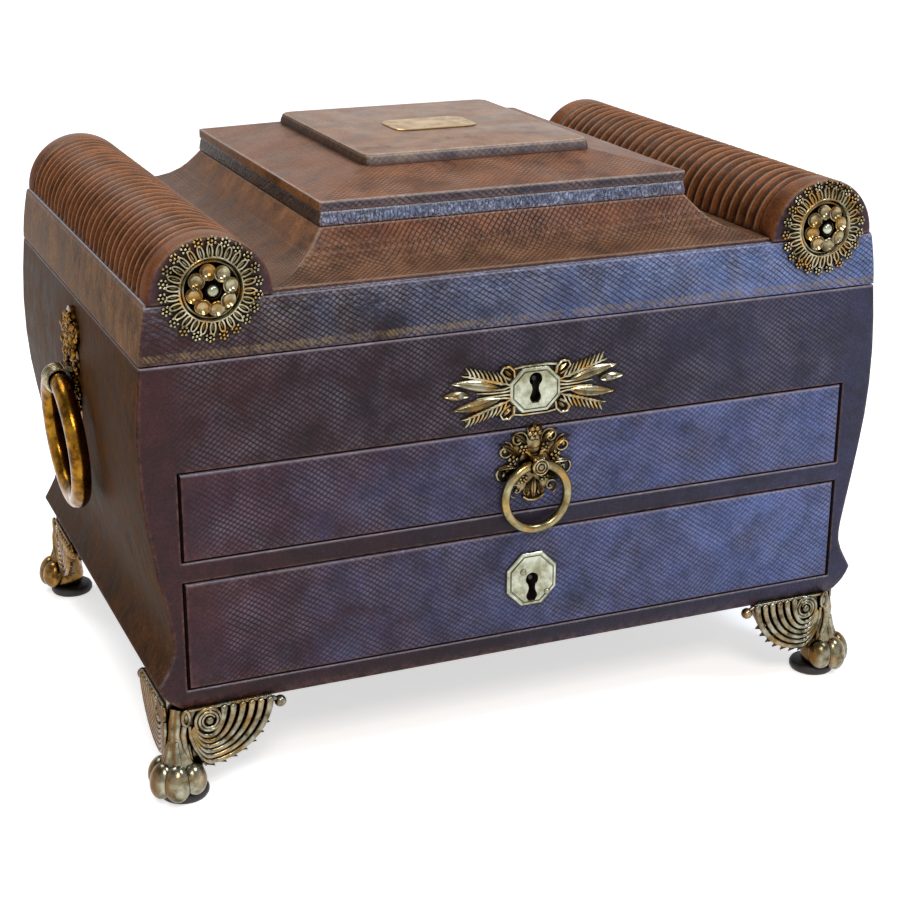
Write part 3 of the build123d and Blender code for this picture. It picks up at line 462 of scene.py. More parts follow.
def leather(name, front, ends, top, crest_highlight, rubbed, field=None, lines=(1.0, 0.8), incised=0.35, relief=0.22,
            rough=0.42, shine=0.2, worn=0.5, glint=0.4, red=0.3, blue=0.0, window_reflection_blue="#58699a", reach=(-60.0, 130.0),
            dirt_and_shade="#140b0a", nook=2.2, cord_z=None, cracks=0.0, streaks=0.0, reeded=False, sheen=None):
    """Goatskin boarded both ways into fine lozenges, stained and waxed: painted highlights on the crests, the cuts
    darker, painted shade in the nooks.
    """
    p = Paint(name + " goatskin")
    math, times, ramp, noise, blend = p.math, p.times, p.ramp, p.noise, p.blend
    cut_pitch, torn_hide, red_stain, window, gold = 2.25, "#6e3d2a", "#4c2622", "#9fb0cf", "#86704a"
    x, y, z = p.parts(p.mm)
    warp = noise(14, 1.0, 0.5, output=1)
    warped = p.parts(p.vector("MULTIPLY_ADD", warp, (1.5, 1.5, 1.5), p.mm))
    away = p.away()
    end_face = math("GREATER_THAN", away[0], 0.6)
    top_face = math("GREATER_THAN", away[2], 0.75)
    across = p.pick(end_face, warped[0], warped[1])
    upward = p.pick(top_face, warped[2], warped[1])

    def ripple(value, spacing):
        return math("ABSOLUTE", math("SINE", times(value, pi / spacing)))

    # Lozenges between cuts that lean both ways; each set of cuts fades out in patches of its own
    cells = []
    for lean, spacing, weight, shift in ((-1.05, cut_pitch, lines[0], 0.0), (1.5, 1.45 * cut_pitch, lines[1], 60.0)):
        wave = ramp(ripple(math("MULTIPLY_ADD", upward, lean, across), spacing), 0.0, 0.62)
        patch = ramp(noise(24.0, shift=shift), 0.4, 0.56, 1.0 - 0.45 * weight, 1.0 - weight)
        cells.append(math("MAXIMUM", wave, patch))
    in_field = math("SUBTRACT", 1.0, end_face)
    if field:
        near_x, far_x, low_z, high_z = field
        for value, start, stop in ((x, near_x - 6, near_x + 8), (x, far_x + 6, far_x - 8),
                                   (z, low_z - 1, low_z + 1), (z, high_z + 1, high_z - 1)):
            in_field = times(in_field, ramp(value, start, stop))
        in_field = times(in_field, math("LESS_THAN", y, 0.0))
    lift = p.pick(in_field, 0.62, times(*cells))
    grain = noise(0.8, 4.0, 0.7)
    height = math("MULTIPLY_ADD", grain, 0.45, lift)
    height = math("MULTIPLY_ADD", noise(8.0, 3.0), 1.8, height)
    if cracks:
        torn = p.vector("MULTIPLY", p.vector("MULTIPLY_ADD", warp, (3.0, 3.0, 3.0), p.mm), (0.7, 0.5, 0.35))
        gap = add(p.tree, "TexVoronoi", {"Vector": torn, "Scale": 0.9}, feature="DISTANCE_TO_EDGE").outputs[0]
        gap = ramp(math("MULTIPLY_ADD", noise(1.2, 5.0, 0.7), 0.3, gap), 0.1, 0.3)
        height = math("MULTIPLY_ADD", gap, cracks, height)

    side = ramp(away[0], 0.3, 0.75)
    facing = ramp(away[1], 0.3, 0.8)
    # Front, ends and top take their own colours, and the difference is painted light: the front darker and cooler, the
    # ends and top warmer, for cool light in front and warm light from the sides
    skin = blend(ramp(away[2], 0.4, 0.9), blend(side, front, ends), top)
    # The stain has gone red-brown towards the left, and a painted blue reflection of a window grows towards the right;
    # the change wanders by up to half of this many millimetres either way
    wandering = 200.0
    wander = math("MULTIPLY_ADD", noise(34.0, 4.0), wandering, x)
    skin = blend(times(ramp(wander, 60.0, -80.0, 0.0, red), facing), skin, red_stain)
    window_reflection = ramp(wander, reach[0] + wandering / 2, reach[1] + wandering / 2, 0.0, blue)
    skin = blend(times(window_reflection, facing), skin, window_reflection_blue)
    cloud = ramp(noise(13.0, 6.0, 0.72), 0.3, 0.7, 0.45, 1.5)
    if streaks:
        fibre = noise(1.0, 5.0, 0.7, where=p.vector("MULTIPLY", p.mm, (0.5, 0.5, 0.07)))
        fibre = p.pick(side, 0.5, fibre)
        cloud = times(cloud, ramp(fibre, 0.35, 0.65, 1.0 - streaks, 1.0 + streaks))
    shade = times(cloud, ramp(lift, 0.0, 1.0, incised, 1.12), ramp(grain, 0.3, 0.7, 0.55, 1.45))
    skin = p.vector("SCALE", skin, Scale=shade)
    # Painted highlight: in patches the crests of the lozenges turn to the pale crest colour, for light glinting on the
    # wax
    shiny = times(ramp(lift, 0.5, 1.0), ramp(noise(17.0, 6.0, 0.7, 90.0), 0.4, 0.66), in_field, glint)
    skin = blend(shiny, skin, crest_highlight)
    if sheen:
        # Waxed upper slope of the lid's front mirrors the window: broken blue-white strokes along the cuts
        from_z, to_z, strength = sheen
        stroke = noise(1.0, 6.0, 0.75, where=p.vector("MULTIPLY", p.mm, (0.22, 0.4, 0.8)))
        uneven = 16.0
        zone = math("MULTIPLY_ADD", noise(12.0, 4.0, shift=17.0), uneven, z)
        zone = ramp(zone, from_z + uneven / 2, to_z + uneven / 2)
        toward = ramp(x, -110.0, 60.0, 0.35, 1.0)
        stroke = times(ramp(stroke, 0.5, 0.68), zone, times(toward, facing))
        skin = blend(times(stroke, ramp(lift, 0.2, 0.9, 0.15, strength)), skin, window)
    if cracks:
        # Painted highlight: pale blue-white flecks on the faces that look forwards, for the window caught in the
        # crackled wax; then the dark cracks
        flake_highlight = ramp(noise(2.2, 6.0, 0.8, 5.0), 0.5, 0.62)
        skin = blend(times(flake_highlight, times(facing, 0.75)), skin, "#b9c6e2")
        skin = blend(times(math("SUBTRACT", 1.0, gap), 0.8), skin, "#1a1720")
    if reeded:
        # Painted highlight of pale tan along the crown of each reed, painted black-brown shade down in each groove
        start, stop = front_y + reed_band, half_deep - reed_band
        groove = ripple(math("SUBTRACT", y, start), reed_pitch)
        within = times(ramp(y, start - 0.2, start + 0.2), ramp(y, stop + 0.2, stop - 0.2))
        crown = times(ramp(groove, 0.93, 1.0), ramp(noise(7.0, 5.0, 0.7), 0.35, 0.6, 0.15, 0.75))
        skin = blend(times(crown, within), skin, crest_highlight)
        skin = blend(times(ramp(groove, 0.72, 0.25), within), skin, dirt_and_shade)

    # Edges: pale along the edges that face upwards, a painted highlight over the rubbed wear; torn to the red-brown
    # hide elsewhere
    soft = add(p.tree, "Bevel", {"Radius": 1.6 * MM}, samples=4).outputs[0]
    upper = add(p.tree, "VectorTransform", {0: soft}, vector_type="NORMAL", convert_from="WORLD", convert_to="OBJECT")
    upper = ramp(p.parts(upper.outputs[0])[2], 0.12, 0.5)
    true_normal = add(p.tree, "NewGeometry").outputs["True Normal"]
    turn = add(p.tree, "VectorMath", {0: soft, 1: true_normal}, operation="DOT_PRODUCT").outputs[1]
    chips = ramp(noise(2.6, 5.0, 0.75), 0.6 - 0.35 * worn, 0.72 - 0.25 * worn)
    edge = times(ramp(turn, 0.99, 0.94), math("MAXIMUM", chips, times(upper, 0.7)), ramp(side, 0.0, 1.0, 1.0, 0.3))
    # Dark blots where wet hands and spilt ink went in, then pinhead scuffs that took the finish off
    skin = blend(times(ramp(noise(19.0, 6.0, 0.7, 55.0), 0.56, 0.68), 0.45), skin, dirt_and_shade)
    scuff = times(ramp(noise(1.0, 5.0, 0.8), 0.64, 0.7), ramp(noise(21.0, 3.0, shift=30.0), 0.4, 0.65, 0.3, 1.0))
    skin = blend(times(scuff, 0.6), skin, rubbed)
    # Painted shade: darker in nooks and corners, up to nook millimetres in
    hidden = p.nook(nook, 6)
    skin = blend(ramp(hidden, 0.45, 0.95), dirt_and_shade, skin)
    edge = times(edge, ramp(hidden, 0.1, 0.3))
    # Painted highlight on the edges that face upwards, red-brown torn hide on the rest
    skin = blend(times(edge, 0.9), skin, blend(upper, torn_hide, rubbed))
    if cord_z:
        # Gilt cord along the lid's lower border: strands 1.6 mm apart, more than half of the gold rubbed off
        twist = times(math("MULTIPLY_ADD", z, 0.8, x), TAU / 1.6)
        twist = ramp(math("SINE", twist), -0.7, 0.6, 0.3, 1.0)
        band = ramp(math("ABSOLUTE", math("SUBTRACT", z, cord_z)), 1.5, 0.9)
        skin = blend(times(band, twist, facing, ramp(noise(2.6, 6.0, 0.8, 11.0), 0.42, 0.6, 0.0, 0.85)), skin, gold)
    dull = math("MULTIPLY_ADD", shiny, -0.14, ramp(cloud, 0.5, 1.5, rough - 0.06, rough + 0.12))
    gloss = times(shine, ramp(side, 0.0, 1.0, 1.0, 0.05))
    return p.coat(skin, math("MULTIPLY_ADD", edge, -0.12, dull), height, relief,
                  {"Specular IOR Level": math("MULTIPLY_ADD", edge, 0.3, gloss)})


def gilt(name, bright, mid, hollow, rough, deep=2.6, open_at=0.92, golden=0.0, sideways_reflection=None):
    """Cast brass, fire-gilt and burnished: bright where rubbed, brown lacquer left in the hollows and deepened there
    with painted shade.
    """
    p = Paint(name)
    cloud = p.noise(4.5)
    skin = p.blend(p.ramp(cloud, 0.36, 0.66), mid, bright)
    if golden:
        # Patches where the mercury gilding has kept its yellow
        kept = p.parts(p.noise(7.0, 3.0, output=1))[0]
        skin = p.blend(p.ramp(kept, 0.5, 0.62, 0.0, golden), skin, "#a87c34")
    if sideways_reflection:
        # Painted reflection: the faces that look sideways turn a warm yellow-brown, for warm light from the sides
        skin = p.blend(p.ramp(p.away()[0], 0.45, 0.85, 0.0, 0.9), skin, sideways_reflection)
    # Darker in the hollows: brown lacquer, with painted shade as far as deep millimetres in
    skin = p.blend(p.ramp(p.nook(deep, 8), 0.4, open_at), hollow, skin)
    dull = p.ramp(cloud, 0.3, 0.7, rough + 0.08, rough - 0.05)
    return p.coat(skin, dull, p.noise(1 / 1.2, 3.0, 0.5), 0.05, {"Metallic": 1.0})


def wood(name, pale, dark):
    """Planed softwood or mahogany: grain 1 to 3 mm apart, hardly shiny, leather turned in along its front rim."""
    p = Paint(name)
    rim_y = front_y + 9.0
    grain = p.noise(1.0, 6.0, 0.65, where=p.vector("MULTIPLY", p.mm, (0.02, 0.5, 0.5)), Distortion=0.4)
    skin = p.blend(p.ramp(grain, 0.32, 0.68), dark, pale)
    skin = p.blend(p.ramp(p.parts(p.mm)[1], rim_y, rim_y - 0.6), skin, "#1c1110")
    return p.coat(skin, 0.6, grain, 0.12, {})


def plain(name, colour, second, rough, metallic=0.0, spots=3.0, relief=0.05):
    """Small hidden fittings: one stuff with cloudy tone and a fine skin."""
    p = Paint(name)
    cloud = p.noise(spots, 4.0, 0.5)
    skin = p.blend(p.ramp(cloud, 0.35, 0.65), colour, second)
    return p.coat(skin, rough, cloud, relief, {"Metallic": metallic})


studio()

front_wear = {"incised": 0.22, "glint": 0.3}
body_skin = leather("body", "#22141e", "#4f3218", "#3f2c26", "#8d8494", "#c4bac8", lines=(1.0, 0.75),
                    field=(-137, 137, rail_z, seam_z), red=0.6, blue=0.2, reach=(-40, 160), streaks=0.4,
                    **front_wear)
upper_skin = leather("upper drawer", "#312030", "#3a2a22", "#3f2c26", "#93899c", "#c9c0cf",
                     field=(low("upper_drawer_front").x + 6, 200, 0, 300), red=0.55, blue=0.75, reach=(-90, 100),
                     **front_wear)
lower_skin = leather("writing drawer", "#31202e", "#3a2a22", "#3f2c26", "#93899c", "#b9b0c0",
                     field=(low("lower_drawer_front").x + 10, 200, 0, 300), red=0.6, blue=0.85, reach=(-90, 110),
                     **front_wear)
lid_skin = leather("lid", "#1d121b", "#856449", "#4c3a38", "#a39a9c", "#c6bcc4", lines=(0.6, 1.0),
                   field=(-145, 155, 0, 300), red=0.5, blue=0.8, window_reflection_blue="#6477a8", reach=(-80, 90), streaks=0.35,
                   incised=0.15, glint=0.35, cord_z=seam_z + 2.9, sheen=(seam_z + 7.0, seam_z + 17.0, 0.85))
cove_skin = leather("cove", "#70361a", "#aa7e5e", "#6a4832", "#a08268", "#b59c86", red=0.2, glint=0.3)
# The fascia's pale blue-grey front and near-white edges are painted reflection and highlight of a window in its glossy
# face
fascia_skin = leather("fascia", "#3a4668", "#5c4636", "#6c6474", "#a3aac0", "#e6eaf4", lines=(0.2, 0.2),
                      rough=0.28, shine=0.7, worn=1.0, red=0.15, relief=0.4, cracks=1.0)
step_skin = leather("step plate", "#3a3440", "#9a6a44", "#7c5036", "#a58b74", "#cdbfb4", lines=(0.5, 0.7),
                    relief=0.18, worn=0.8, red=0.3, shine=0.3)
cap_skin = leather("cap", "#3c3644", "#5a4436", "#84604a", "#c2aa8e", "#d8c8b4", lines=(0.2, 0.2),
                   relief=0.12, worn=0.7, red=0.2, shine=0.3)
roll_skin = leather("roll", "#2c2028", "#6f4226", "#7a4b2b", "#a57f5e", "#a9876a", lines=(0.1, 0.1),
                    relief=0.1, nook=3.2, dirt_and_shade="#1f0d07", glint=0.0, reeded=True)
wood_inside = wood("carcase pine", "#8a6844", "#5f4227")
drawer_wood = wood("drawer mahogany", "#8b5f3a", "#5c3820")
tooled_brass = gilt("gilt brass", "#b9b193", "#6a5b3a", "#150c06", 0.22, 2.4, golden=0.75)
plate_brass = gilt("dark gilt brass", "#a79b78", "#5a4728", "#0f0805", 0.24, 3.0, 1.0, golden=0.5)
pale_brass = gilt("pale rubbed brass", "#b6b9a6", "#7f7d62", "#3c331c", 0.24, 1.5)
ring_brass = gilt("handled brass", "#9d9472", "#6b5e3a", "#241a0c", 0.2, 1.5, golden=0.5)
name_brass = gilt("lacquered plate brass", "#d8b47a", "#b8925a", "#3c331c", 0.3, 1.5)
gold_brass = gilt("yellow gilt brass", "#9c6f22", "#4a2d08", "#140800", 0.2, 3.2)
foot_brass = gilt("foot gilt brass", "#a19d88", "#4f462e", "#2a1e10", 0.22, 2.6, 0.85, golden=0.35, sideways_reflection="#62421a")
# The back feet get a darker, yellower copy of the foot brass: painted shade and warm reflection, for their place at the
# back
back_foot_brass_shaded = gilt("shaded back foot brass", "#9a7640", "#4f3616", "#1c1006", 0.22, 2.6, 0.9)
lock_iron = plain("lock iron", "#4a4643", "#2f2c2a", 0.5, metallic=1.0)
pin_steel = plain("spray pin steel", "#8d8678", "#6a6254", 0.4, metallic=1.0)
black_pad = plain("black stained pad", "#14100f", "#221b18", 0.55)
flap_skin = plain("flap skiver", "#5d2a20", "#6e3628", 0.5, relief=0.15, spots=1 / 1.5)
ink_glass = plain("ink glass", "#1c2a26", "#24352f", 0.08, relief=0.0)


def block(near, far):
    """A plain box as a form, for taking out of another."""
    form = Form()
    form.slab(corners(*near[:2], *far[:2]), (near[2], far[2]))
    return form


def keyhole(z, y_near, y_far):
    """Keyhole through the front: a round head, a waist and a flared foot."""
    outline = [polar(2.7, radians(t)) for t in range(-55, 236, 15)]
    outline += [(-1.35, -3.6), (-1.6, -4.9), (-2.3, -6.6), (-2.3, -7.6), (-1.3, -9.3), (1.3, -9.3), (2.3, -7.6),
                (2.3, -6.6), (1.6, -4.9), (1.35, -3.6)]
    form = Form()
    form.loft([[(x, y, z + rise) for x, rise in outline] for y in (y_near, y_far)])
    return form


def hinge_cuts(low_z, high_z):
    """Rebates for the two hinges' leaves in a back edge."""
    return [block((side * hinge_x - hinge_half, back_y - hinge_deep, low_z),
                  (side * hinge_x + hinge_half, back_y + beyond, high_z)) for side, name in SIDES]


def between_boards(middle):
    """Whether a face's middle lies within the four walls, so that it is bare wood and not leather."""
    return abs(middle.x) < inner_x + slack and rail_back_y - slack < middle.y < panel_y + slack


def carcase():
    """The covered carcase: swelling ends, cut back below the flare, open for the tray and two drawers."""
    form = Form()
    loops = []
    for rise in (0.0, 0.2, 0.4, 0.6, 0.8):
        turn = rise * pi / 2
        out = 9.5 * (rise + sin(turn)) / 2
        up = (foot_z - base_z) * (rise + 1 - cos(turn)) / 2
        loops.append((half_wide - 10.2 + out, half_deep, base_z + up, corner))
    for share, reach in reversed(swell):
        loops.append((half_wide + reach, half_deep, seam_z - share * (seam_z - foot_z), corner))
    form.tier(loops, 3)
    lock_low, lock_high = low("lid_lock"), high("lid_lock")
    hollows = [
        block((-inner_x, rail_back_y, rail_z), (inner_x, panel_y, seam_z + beyond)),
        block((-inner_x, front_y - beyond, divider_high_z), (inner_x, panel_y, rail_z)),
        block((-inner_x, front_y - beyond, base_high_z), (inner_x, panel_y, divider_low_z)),
        block((lock_low.x, lock_low.y + 0.02, lock_low.z), (lock_high.x, rail_back_y + 1, seam_z + beyond)),
        # Slot in the divider for the drawer lock's bolt
        block((-7.5, -93.0, divider_low_z - 1), (7.5, -89.0, divider_low_z + 5.5)),
        keyhole(lid_key_z, front_y - 2, lock_low.y + 1),
        *hinge_cuts(seam_z - 1, seam_z + beyond),
    ]

    def inside(middle, normal):
        within = between_boards(middle) and base_high_z - slack < middle.z
        return within and (middle.z < seam_z - slack or abs(normal.z) < 0.5)

    piece = hollowed("carcase_leather", form, hollows, (body_skin, wood_inside), inside)
    dress(piece, "case", ("left_end_board", "right_end_board", "base_board", "top_rail", "back_panel",
                          "drawer_divider"), "leather", round_edge=0.5, sharp=40, segments=2)


def lid_box():
    """The lid's own box: leaning ends, and front and back edges that are rounded up to a narrow ledge."""
    form = Form()
    loops = []
    for rise in (0.0, 0.15, 0.4, 0.65, 0.9):
        loops.append((half_wide - 3.0 * rise**1.6, half_deep, lid_z + (lid_top_z - lid_z) * rise, corner))
    for half_x, half_y, sink in ((147.3, 104.6, 0.95), (147.0, 104.0, 0.35), (146.7, 103.1, 0.0)):
        loops.append((half_x, half_y, lid_top_z - sink, corner))
    form.tier(loops, 3)
    striker_low, striker_high = low("lid_striker"), high("lid_striker")
    hollows = [
        block((-inner_x, rail_back_y, lid_z - beyond), (inner_x, panel_y, lid_board_z)),
        block((striker_low.x, striker_low.y, lid_z - beyond), (striker_high.x, rail_back_y + 1, lid_z + 1.2)),
        *hinge_cuts(lid_z - beyond, lid_z + 1),
    ]

    def inside(middle, normal):
        return between_boards(middle) and middle.z < lid_board_z + slack

    piece = hollowed("lid_leather", form, hollows, (lid_skin, wood_inside), inside)
    dress(piece, "lid", ("lid_front", "lid_back", "lid_left_end", "lid_right_end", "lid_top_board"), "leather",
          round_edge=0.35, sharp=40, segments=2)


def lid_tiers():
    """Coving, step plate with its shallow hip, cap and nameplate."""
    foot_x, foot_y = high("lid_coving").x, high("lid_coving").y
    top_x, top_y = high("step_plate").x, high("step_plate").y
    cap_x, cap_y, cap_z, cap_top = high("cap").x, high("cap").y, low("cap").z, high("cap").z
    rise = step_z - lid_top_z
    hollow_line = ((1.0, 0.0), (1.0, 0.045), (0.8, 0.085), (0.62, 0.14), (0.45, 0.225), (0.3, 0.34), (0.2, 0.45),
                   (0.12, 0.56), (0.05, 0.66), (0.0, 0.74))
    coving = [(top_x + share * (foot_x - top_x), top_y + share * (foot_y - top_y), lid_top_z + up * rise, 0.4)
              for share, up in hollow_line]
    fascia = [(top_x + out, top_y + out, z, 0.6) for out, z in (
        (-0.2, lid_top_z + 0.735 * rise), (0.25, lid_top_z + 0.76 * rise), (0.1, lid_top_z + 0.84 * rise),
        (-0.5, step_z))]
    step = [(top_x, top_y, step_z, 0.8), (top_x, top_y, step_z + 3.6, 0.8), (cap_x - 0.2, cap_y - 0.2, cap_z, 0.8)]
    cap = [(cap_x - inset, cap_y - inset, z, 4.0) for inset, z in (
        (0.0, cap_z), (0.1, cap_z + 1.5), (0.7, cap_top - 0.9), (1.2, cap_top - 0.25), (2.2, cap_top))]
    plate = [(18.0, 12.0, cap_top - 0.2, 6.0), (18.0, 12.0, cap_top + 0.35, 6.0), (17.7, 11.7, cap_top + 0.58, 5.7)]
    for name, loops, corner_steps, skin, nodes, slot, round_edge, sharp in (
        ("coving_leather", coving, 2, cove_skin, ("lid_coving",), "leather", 0.3, 30),
        ("fascia_leather", fascia, 2, fascia_skin, (), "leather", 0.3, 40),
        ("step_leather", step, 3, step_skin, ("step_plate",), "leather", 0.7, 25),
        ("cap_leather", cap, 6, cap_skin, ("cap",), "leather", 0.0, 50),
        ("nameplate_brass", plate, 8, name_brass, ("nameplate",), "gilt_brass", 0.0, 30),
    ):
        form = Form()
        form.tier(loops, corner_steps)
        make(name, form, skin, "lid", nodes, slot, round_edge, sharp)


def bolsters():
    """Half rolls of reeds between two plain bands, their front faces flat."""
    long, arc = 2 * half_deep, 40
    rows = [(0.0, -0.9), (0.25, -0.25), (0.9, 0.0), (reed_band - 1.2, 0.0), (reed_band - 0.4, -0.25)]
    for reed in range(reeds):
        for share, sink in ((0.0, -1.7), (0.09, -1.5), (0.2, -1.0), (0.33, -0.45), (0.43, -0.08), (0.5, 0.0),
                            (0.57, -0.08), (0.67, -0.45), (0.8, -1.0), (0.91, -1.5)):
            rows.append((reed_band + (reed + share) * reed_pitch, sink))
    rows += [(long - reed_band, -1.3), (long - reed_band + 0.4, -0.25), (long - reed_band + 1.2, 0.0),
             (long - 0.9, 0.0), (long - 0.25, -0.25), (long, -0.9)]
    for side, name in SIDES:
        rings = []
        for along, sink in rows:
            ring = []
            for k in range(arc + 1):
                # The reeds run out at the roll's foot and are worn down on its crown
                turn = pi * k / arc
                lower = min(1.0, min(turn, pi - turn) / 0.16)
                worn_down = 1.0 - 0.35 * sin(turn) ** 4
                reach = roll_radius + sink * (lower * worn_down if reed_band < along < long - reed_band else 1.0)
                x, up = polar(reach, turn, (side * roll_x, lid_top_z - 0.05))
                ring.append((x, front_y + along, up))
            rings.append(ring)
        form = Form()
        form.loft(rings)
        make("roll_" + name, form, roll_skin, "lid", ("bolster_" + name,), "leather")


def drawer_fronts():
    """Leather fronts of the two drawers, their edges rounded by use."""
    for name, node, skin in (("upper", "upper_drawer_front", upper_skin),
                             ("writing", "lower_drawer_front", lower_skin)):
        near, far = low(node), high(node)
        rings = []
        for depth, inset in ((0.0, 1.0), (0.25, 0.35), (0.9, 0.0), (far.y - near.y, 0.0)):
            outline = corners(near.x + inset, near.z + inset, far.x - inset, far.z - inset)
            rings.append([(x, near.y + depth, z) for x, z in outline])
        form = Form()
        form.loft(rings)
        hollows = [keyhole(drawer_key_z, near.y - 2, far.y + 1)] if name == "writing" else []
        piece = hollowed(name + "_drawer_leather", form, hollows, (skin, drawer_wood),
                         lambda middle, normal: middle.y > near.y + 2)
        dress(piece, name + "_drawer", (node,), "leather", sharp=30)


def rosettes():
    """Florets of seven beads, a ring of open petals, and a dish with a flower of cups round the nail."""
    nails = Form()
    florets, petals, cups = 22, 26, 8
    floret_out, petal_in, petal_long, cup_out = 17.0, 11.2, 4.7, 5.9
    for side, name in SIDES:
        seat = on_front(side * roll_x, high("rosette_" + name).z - 19.0)
        form = Form()
        form.turned([(12.2, 0), (12.2, 0.6), (11.9, 1.3), (11.5, 1.9), (11.1, 2.0), (10.7, 1.5), (10.2, 1.0),
                     (9.7, 1.2), (9.3, 0.8), (8.0, 0.6), (0.5, 0.6)], seat, 72)
        for turn in turns(florets, 0.3):
            middle = polar(floret_out, turn)
            form.wire([(*polar(r, turn), 0.3) for r in (11.5, 16.5)], 0.3, seat, 5)
            form.turned([(1.3, 0.0), (1.2, 0.3), (0.4, 0.4)], moved(seat, *middle), 8)
            form.ball((*middle, 0.95), 0.62, seat, 5)
            for spin in turns(6):
                form.ball((*polar(1.42, turn + spin, middle), 0.7), 0.64, seat, 5)
        for turn in turns(petals, 0.5):
            loop, thick = [], []
            for step in range(15):
                t = step / 14 * 2 - 1
                width = 1.18 * copysign(sin(pi * (1 - abs(t)) ** 0.8) ** 0.7 * 0.72 + 0.28 * abs(t) ** 3, t)
                far_out = petal_in + petal_long * (1 - abs(t) ** 1.7)
                loop.append((*polar(far_out, turn + width / far_out), 1.5 - 0.7 * (far_out - petal_in) / petal_long))
                thick.append(0.56 - 0.16 * (1 - abs(t)))
            form.wire(loop, thick, seat)
            form.wire([(*polar(r, turn), 0.9) for r in (11.2, 12.6, 14.4)], [0.46, 0.4, 0.15], seat, 5)
        for k, turn in enumerate(turns(cups, 0.25)):
            place = moved(seat, *polar(cup_out, turn), 0.15 * (k % 2))
            place = place @ Matrix.Rotation(turn, 4, "Z") @ Matrix.Rotation(radians(16), 4, "Y")
            form.turned([(1.4, 0.6), (2.6, 1.3), (3.0, 2.1), (3.05, 2.7), (2.8, 2.95), (2.45, 2.6), (1.9, 1.9),
                         (1.0, 1.5), (0.3, 1.45)], place, 26)
        form.turned([(3.3, 0.9), (3.3, 2.3), (3.0, 2.9), (2.7, 2.6), (2.5, 1.9), (1.0, 1.8)], seat, 36)
        make("rosette_brass_" + name, form, tooled_brass, "lid", ("rosette_" + name,))
        nails.turned([(2.2, 1.7), (2.3, 2.4), (2.15, 3.2), (1.7, 3.9), (1.0, 4.35), (0.25, 4.5)], seat, 28)
    make("rosette_nail_heads", nails, pale_brass, "lid", ("rosette_nails",))


def octagon(wide, tall, cut, inset):
    """Outline of a plate with its corners cut off, drawn in by an inset."""
    w, t = wide / 2 - inset, tall / 2 - inset
    c = cut - inset * 0.4
    return [(w, t - c), (w - c, t), (c - w, t), (-w, t - c), (-w, c - t), (c - w, -t), (w - c, -t), (w, c - t)]


def escutcheons():
    """Octagonal keyhole plates, flat with a rounded rim, pinned on the drawer."""
    wide = 21.0
    for name, node, body, tall, cut, key_z in (
        ("lid_keyhole_plate", "lid_escutcheon", "case", 17.6, 5.2, lid_key_z),
        ("drawer_keyhole_plate", "drawer_escutcheon", "writing_drawer", 22.0, 6.2, drawer_key_z),
    ):
        seat = on_front(0, (low(node).z + high(node).z) / 2)
        form = Form()
        form.loft([[(x, y, out) for x, y in octagon(wide, tall, cut, inset)]
                   for inset, out in ((0, 0), (0, 0.75), (0.3, 1.1), (0.8, 1.2), (1.15, 1.1), (1.3, 0.8), (1.55, 0.8),
                                      (1.75, 1.2))], seat)
        piece = hollowed(name, form, [keyhole(key_z, front_y - 3, front_y + 1)], (pale_brass,),
                         lambda middle, normal: False)
        dress(piece, body, (node,), "gilt_brass", sharp=30)
    pins = Form()
    for x, y in ((-3.8, 3.4), (6.6, -6.4)):
        pins.turned([(1.3, 0), (1.25, 0.35), (0.8, 0.7), (0.2, 0.8)], moved(seat, x, y, 1.15), 16)
    make("drawer_plate_pins", pins, pale_brass, "writing_drawer")


def leaf_sprays():
    """Pressed brass sprays: two long leaves, two fern fronds and small folded leaves each side of the lock."""
    form = Form()
    pins = Form()
    for side, name in SIDES:
        seat = on_front(0, (low("lid_escutcheon").z + high("lid_escutcheon").z) / 2)
        seat = seat @ Matrix.Scale(side, 4, (1, 0, 0))
        for root, tip, wide, bend in (((14.0, 1.5), (35.8, 6.2), 4.6, 0.6), ((14.0, -1.7), (35.0, -4.6), 4.6, -0.6),
                                      ((27.0, 0.8), (38.2, 1.6), 3.8, 0.0)):
            form.leaf(root, tip, wide, 1.1, seat, bend=bend, height=0.6)
        for y in (-2.0, -0.7, 0.7, 2.0):
            form.wire([(9.5, y * 1.25, 0.5), (13.0, y * 0.85, 0.9), (18.0, y * 0.9, 0.8), (24.0, y * 1.5, 0.5)],
                      [0.55, 0.55, 0.45, 0.2], seat)
        for up in (1, -1):
            form.wire([(9.5, up * 2.6, 0.5), (14.0, up * 4.2, 0.7), (20.0, up * 6.2, 0.6), (28.5, up * 9.4, 0.4)],
                      [0.5, 0.5, 0.4, 0.2], seat)
            for k in range(9):
                t = k / 8
                x, y, long = 11.8 + 14.8 * t, up * (3.6 + 4.6 * t), 4.6 - 1.0 * t
                for near, far, thick in (((0.22, 0.5, 0.9), (0.5, 0.95, 0.6), [0.5, 0.62, 0.25]),
                                         ((0.5, 0.02, 0.8), (0.95, 0.12, 0.5), [0.45, 0.55, 0.22])):
                    form.wire([(x, y, 0.7)] + [(x + long * a, y + up * long * b, h) for a, b, h in (near, far)],
                              thick, seat)
            rim = [(8.6, up * 5.6, 0.6), (8.9, up * 8.4, 0.9), (10.8, up * 10.2, 0.9), (13.4, up * 10.0, 0.9),
                   (14.4, up * 8.2, 0.9), (13.0, up * 6.4, 0.9), (10.4, up * 5.0, 0.6)]
            form.wire(rim, 0.62, seat, 7)
            form.leaf((9.6, up * 6.0), (13.6, up * 9.6), 2.2, 0.7, seat, height=0.2)
            form.wire([(9.2, up * 8.9, 0.5), (5.0, up * 9.5, 0.6), (-0.5, up * 9.5, 0.5)], 0.5, seat)
        pins.turned([(1.35, 0.0), (1.3, 0.5), (0.9, 0.95), (0.2, 1.15)], moved(seat, 30.6, 1.2, 1.0), 16)
    make("leaf_spray_brass", form, tooled_brass, "case", ("leaf_sprays",))
    make("spray_pins", pins, pin_steel, "case")


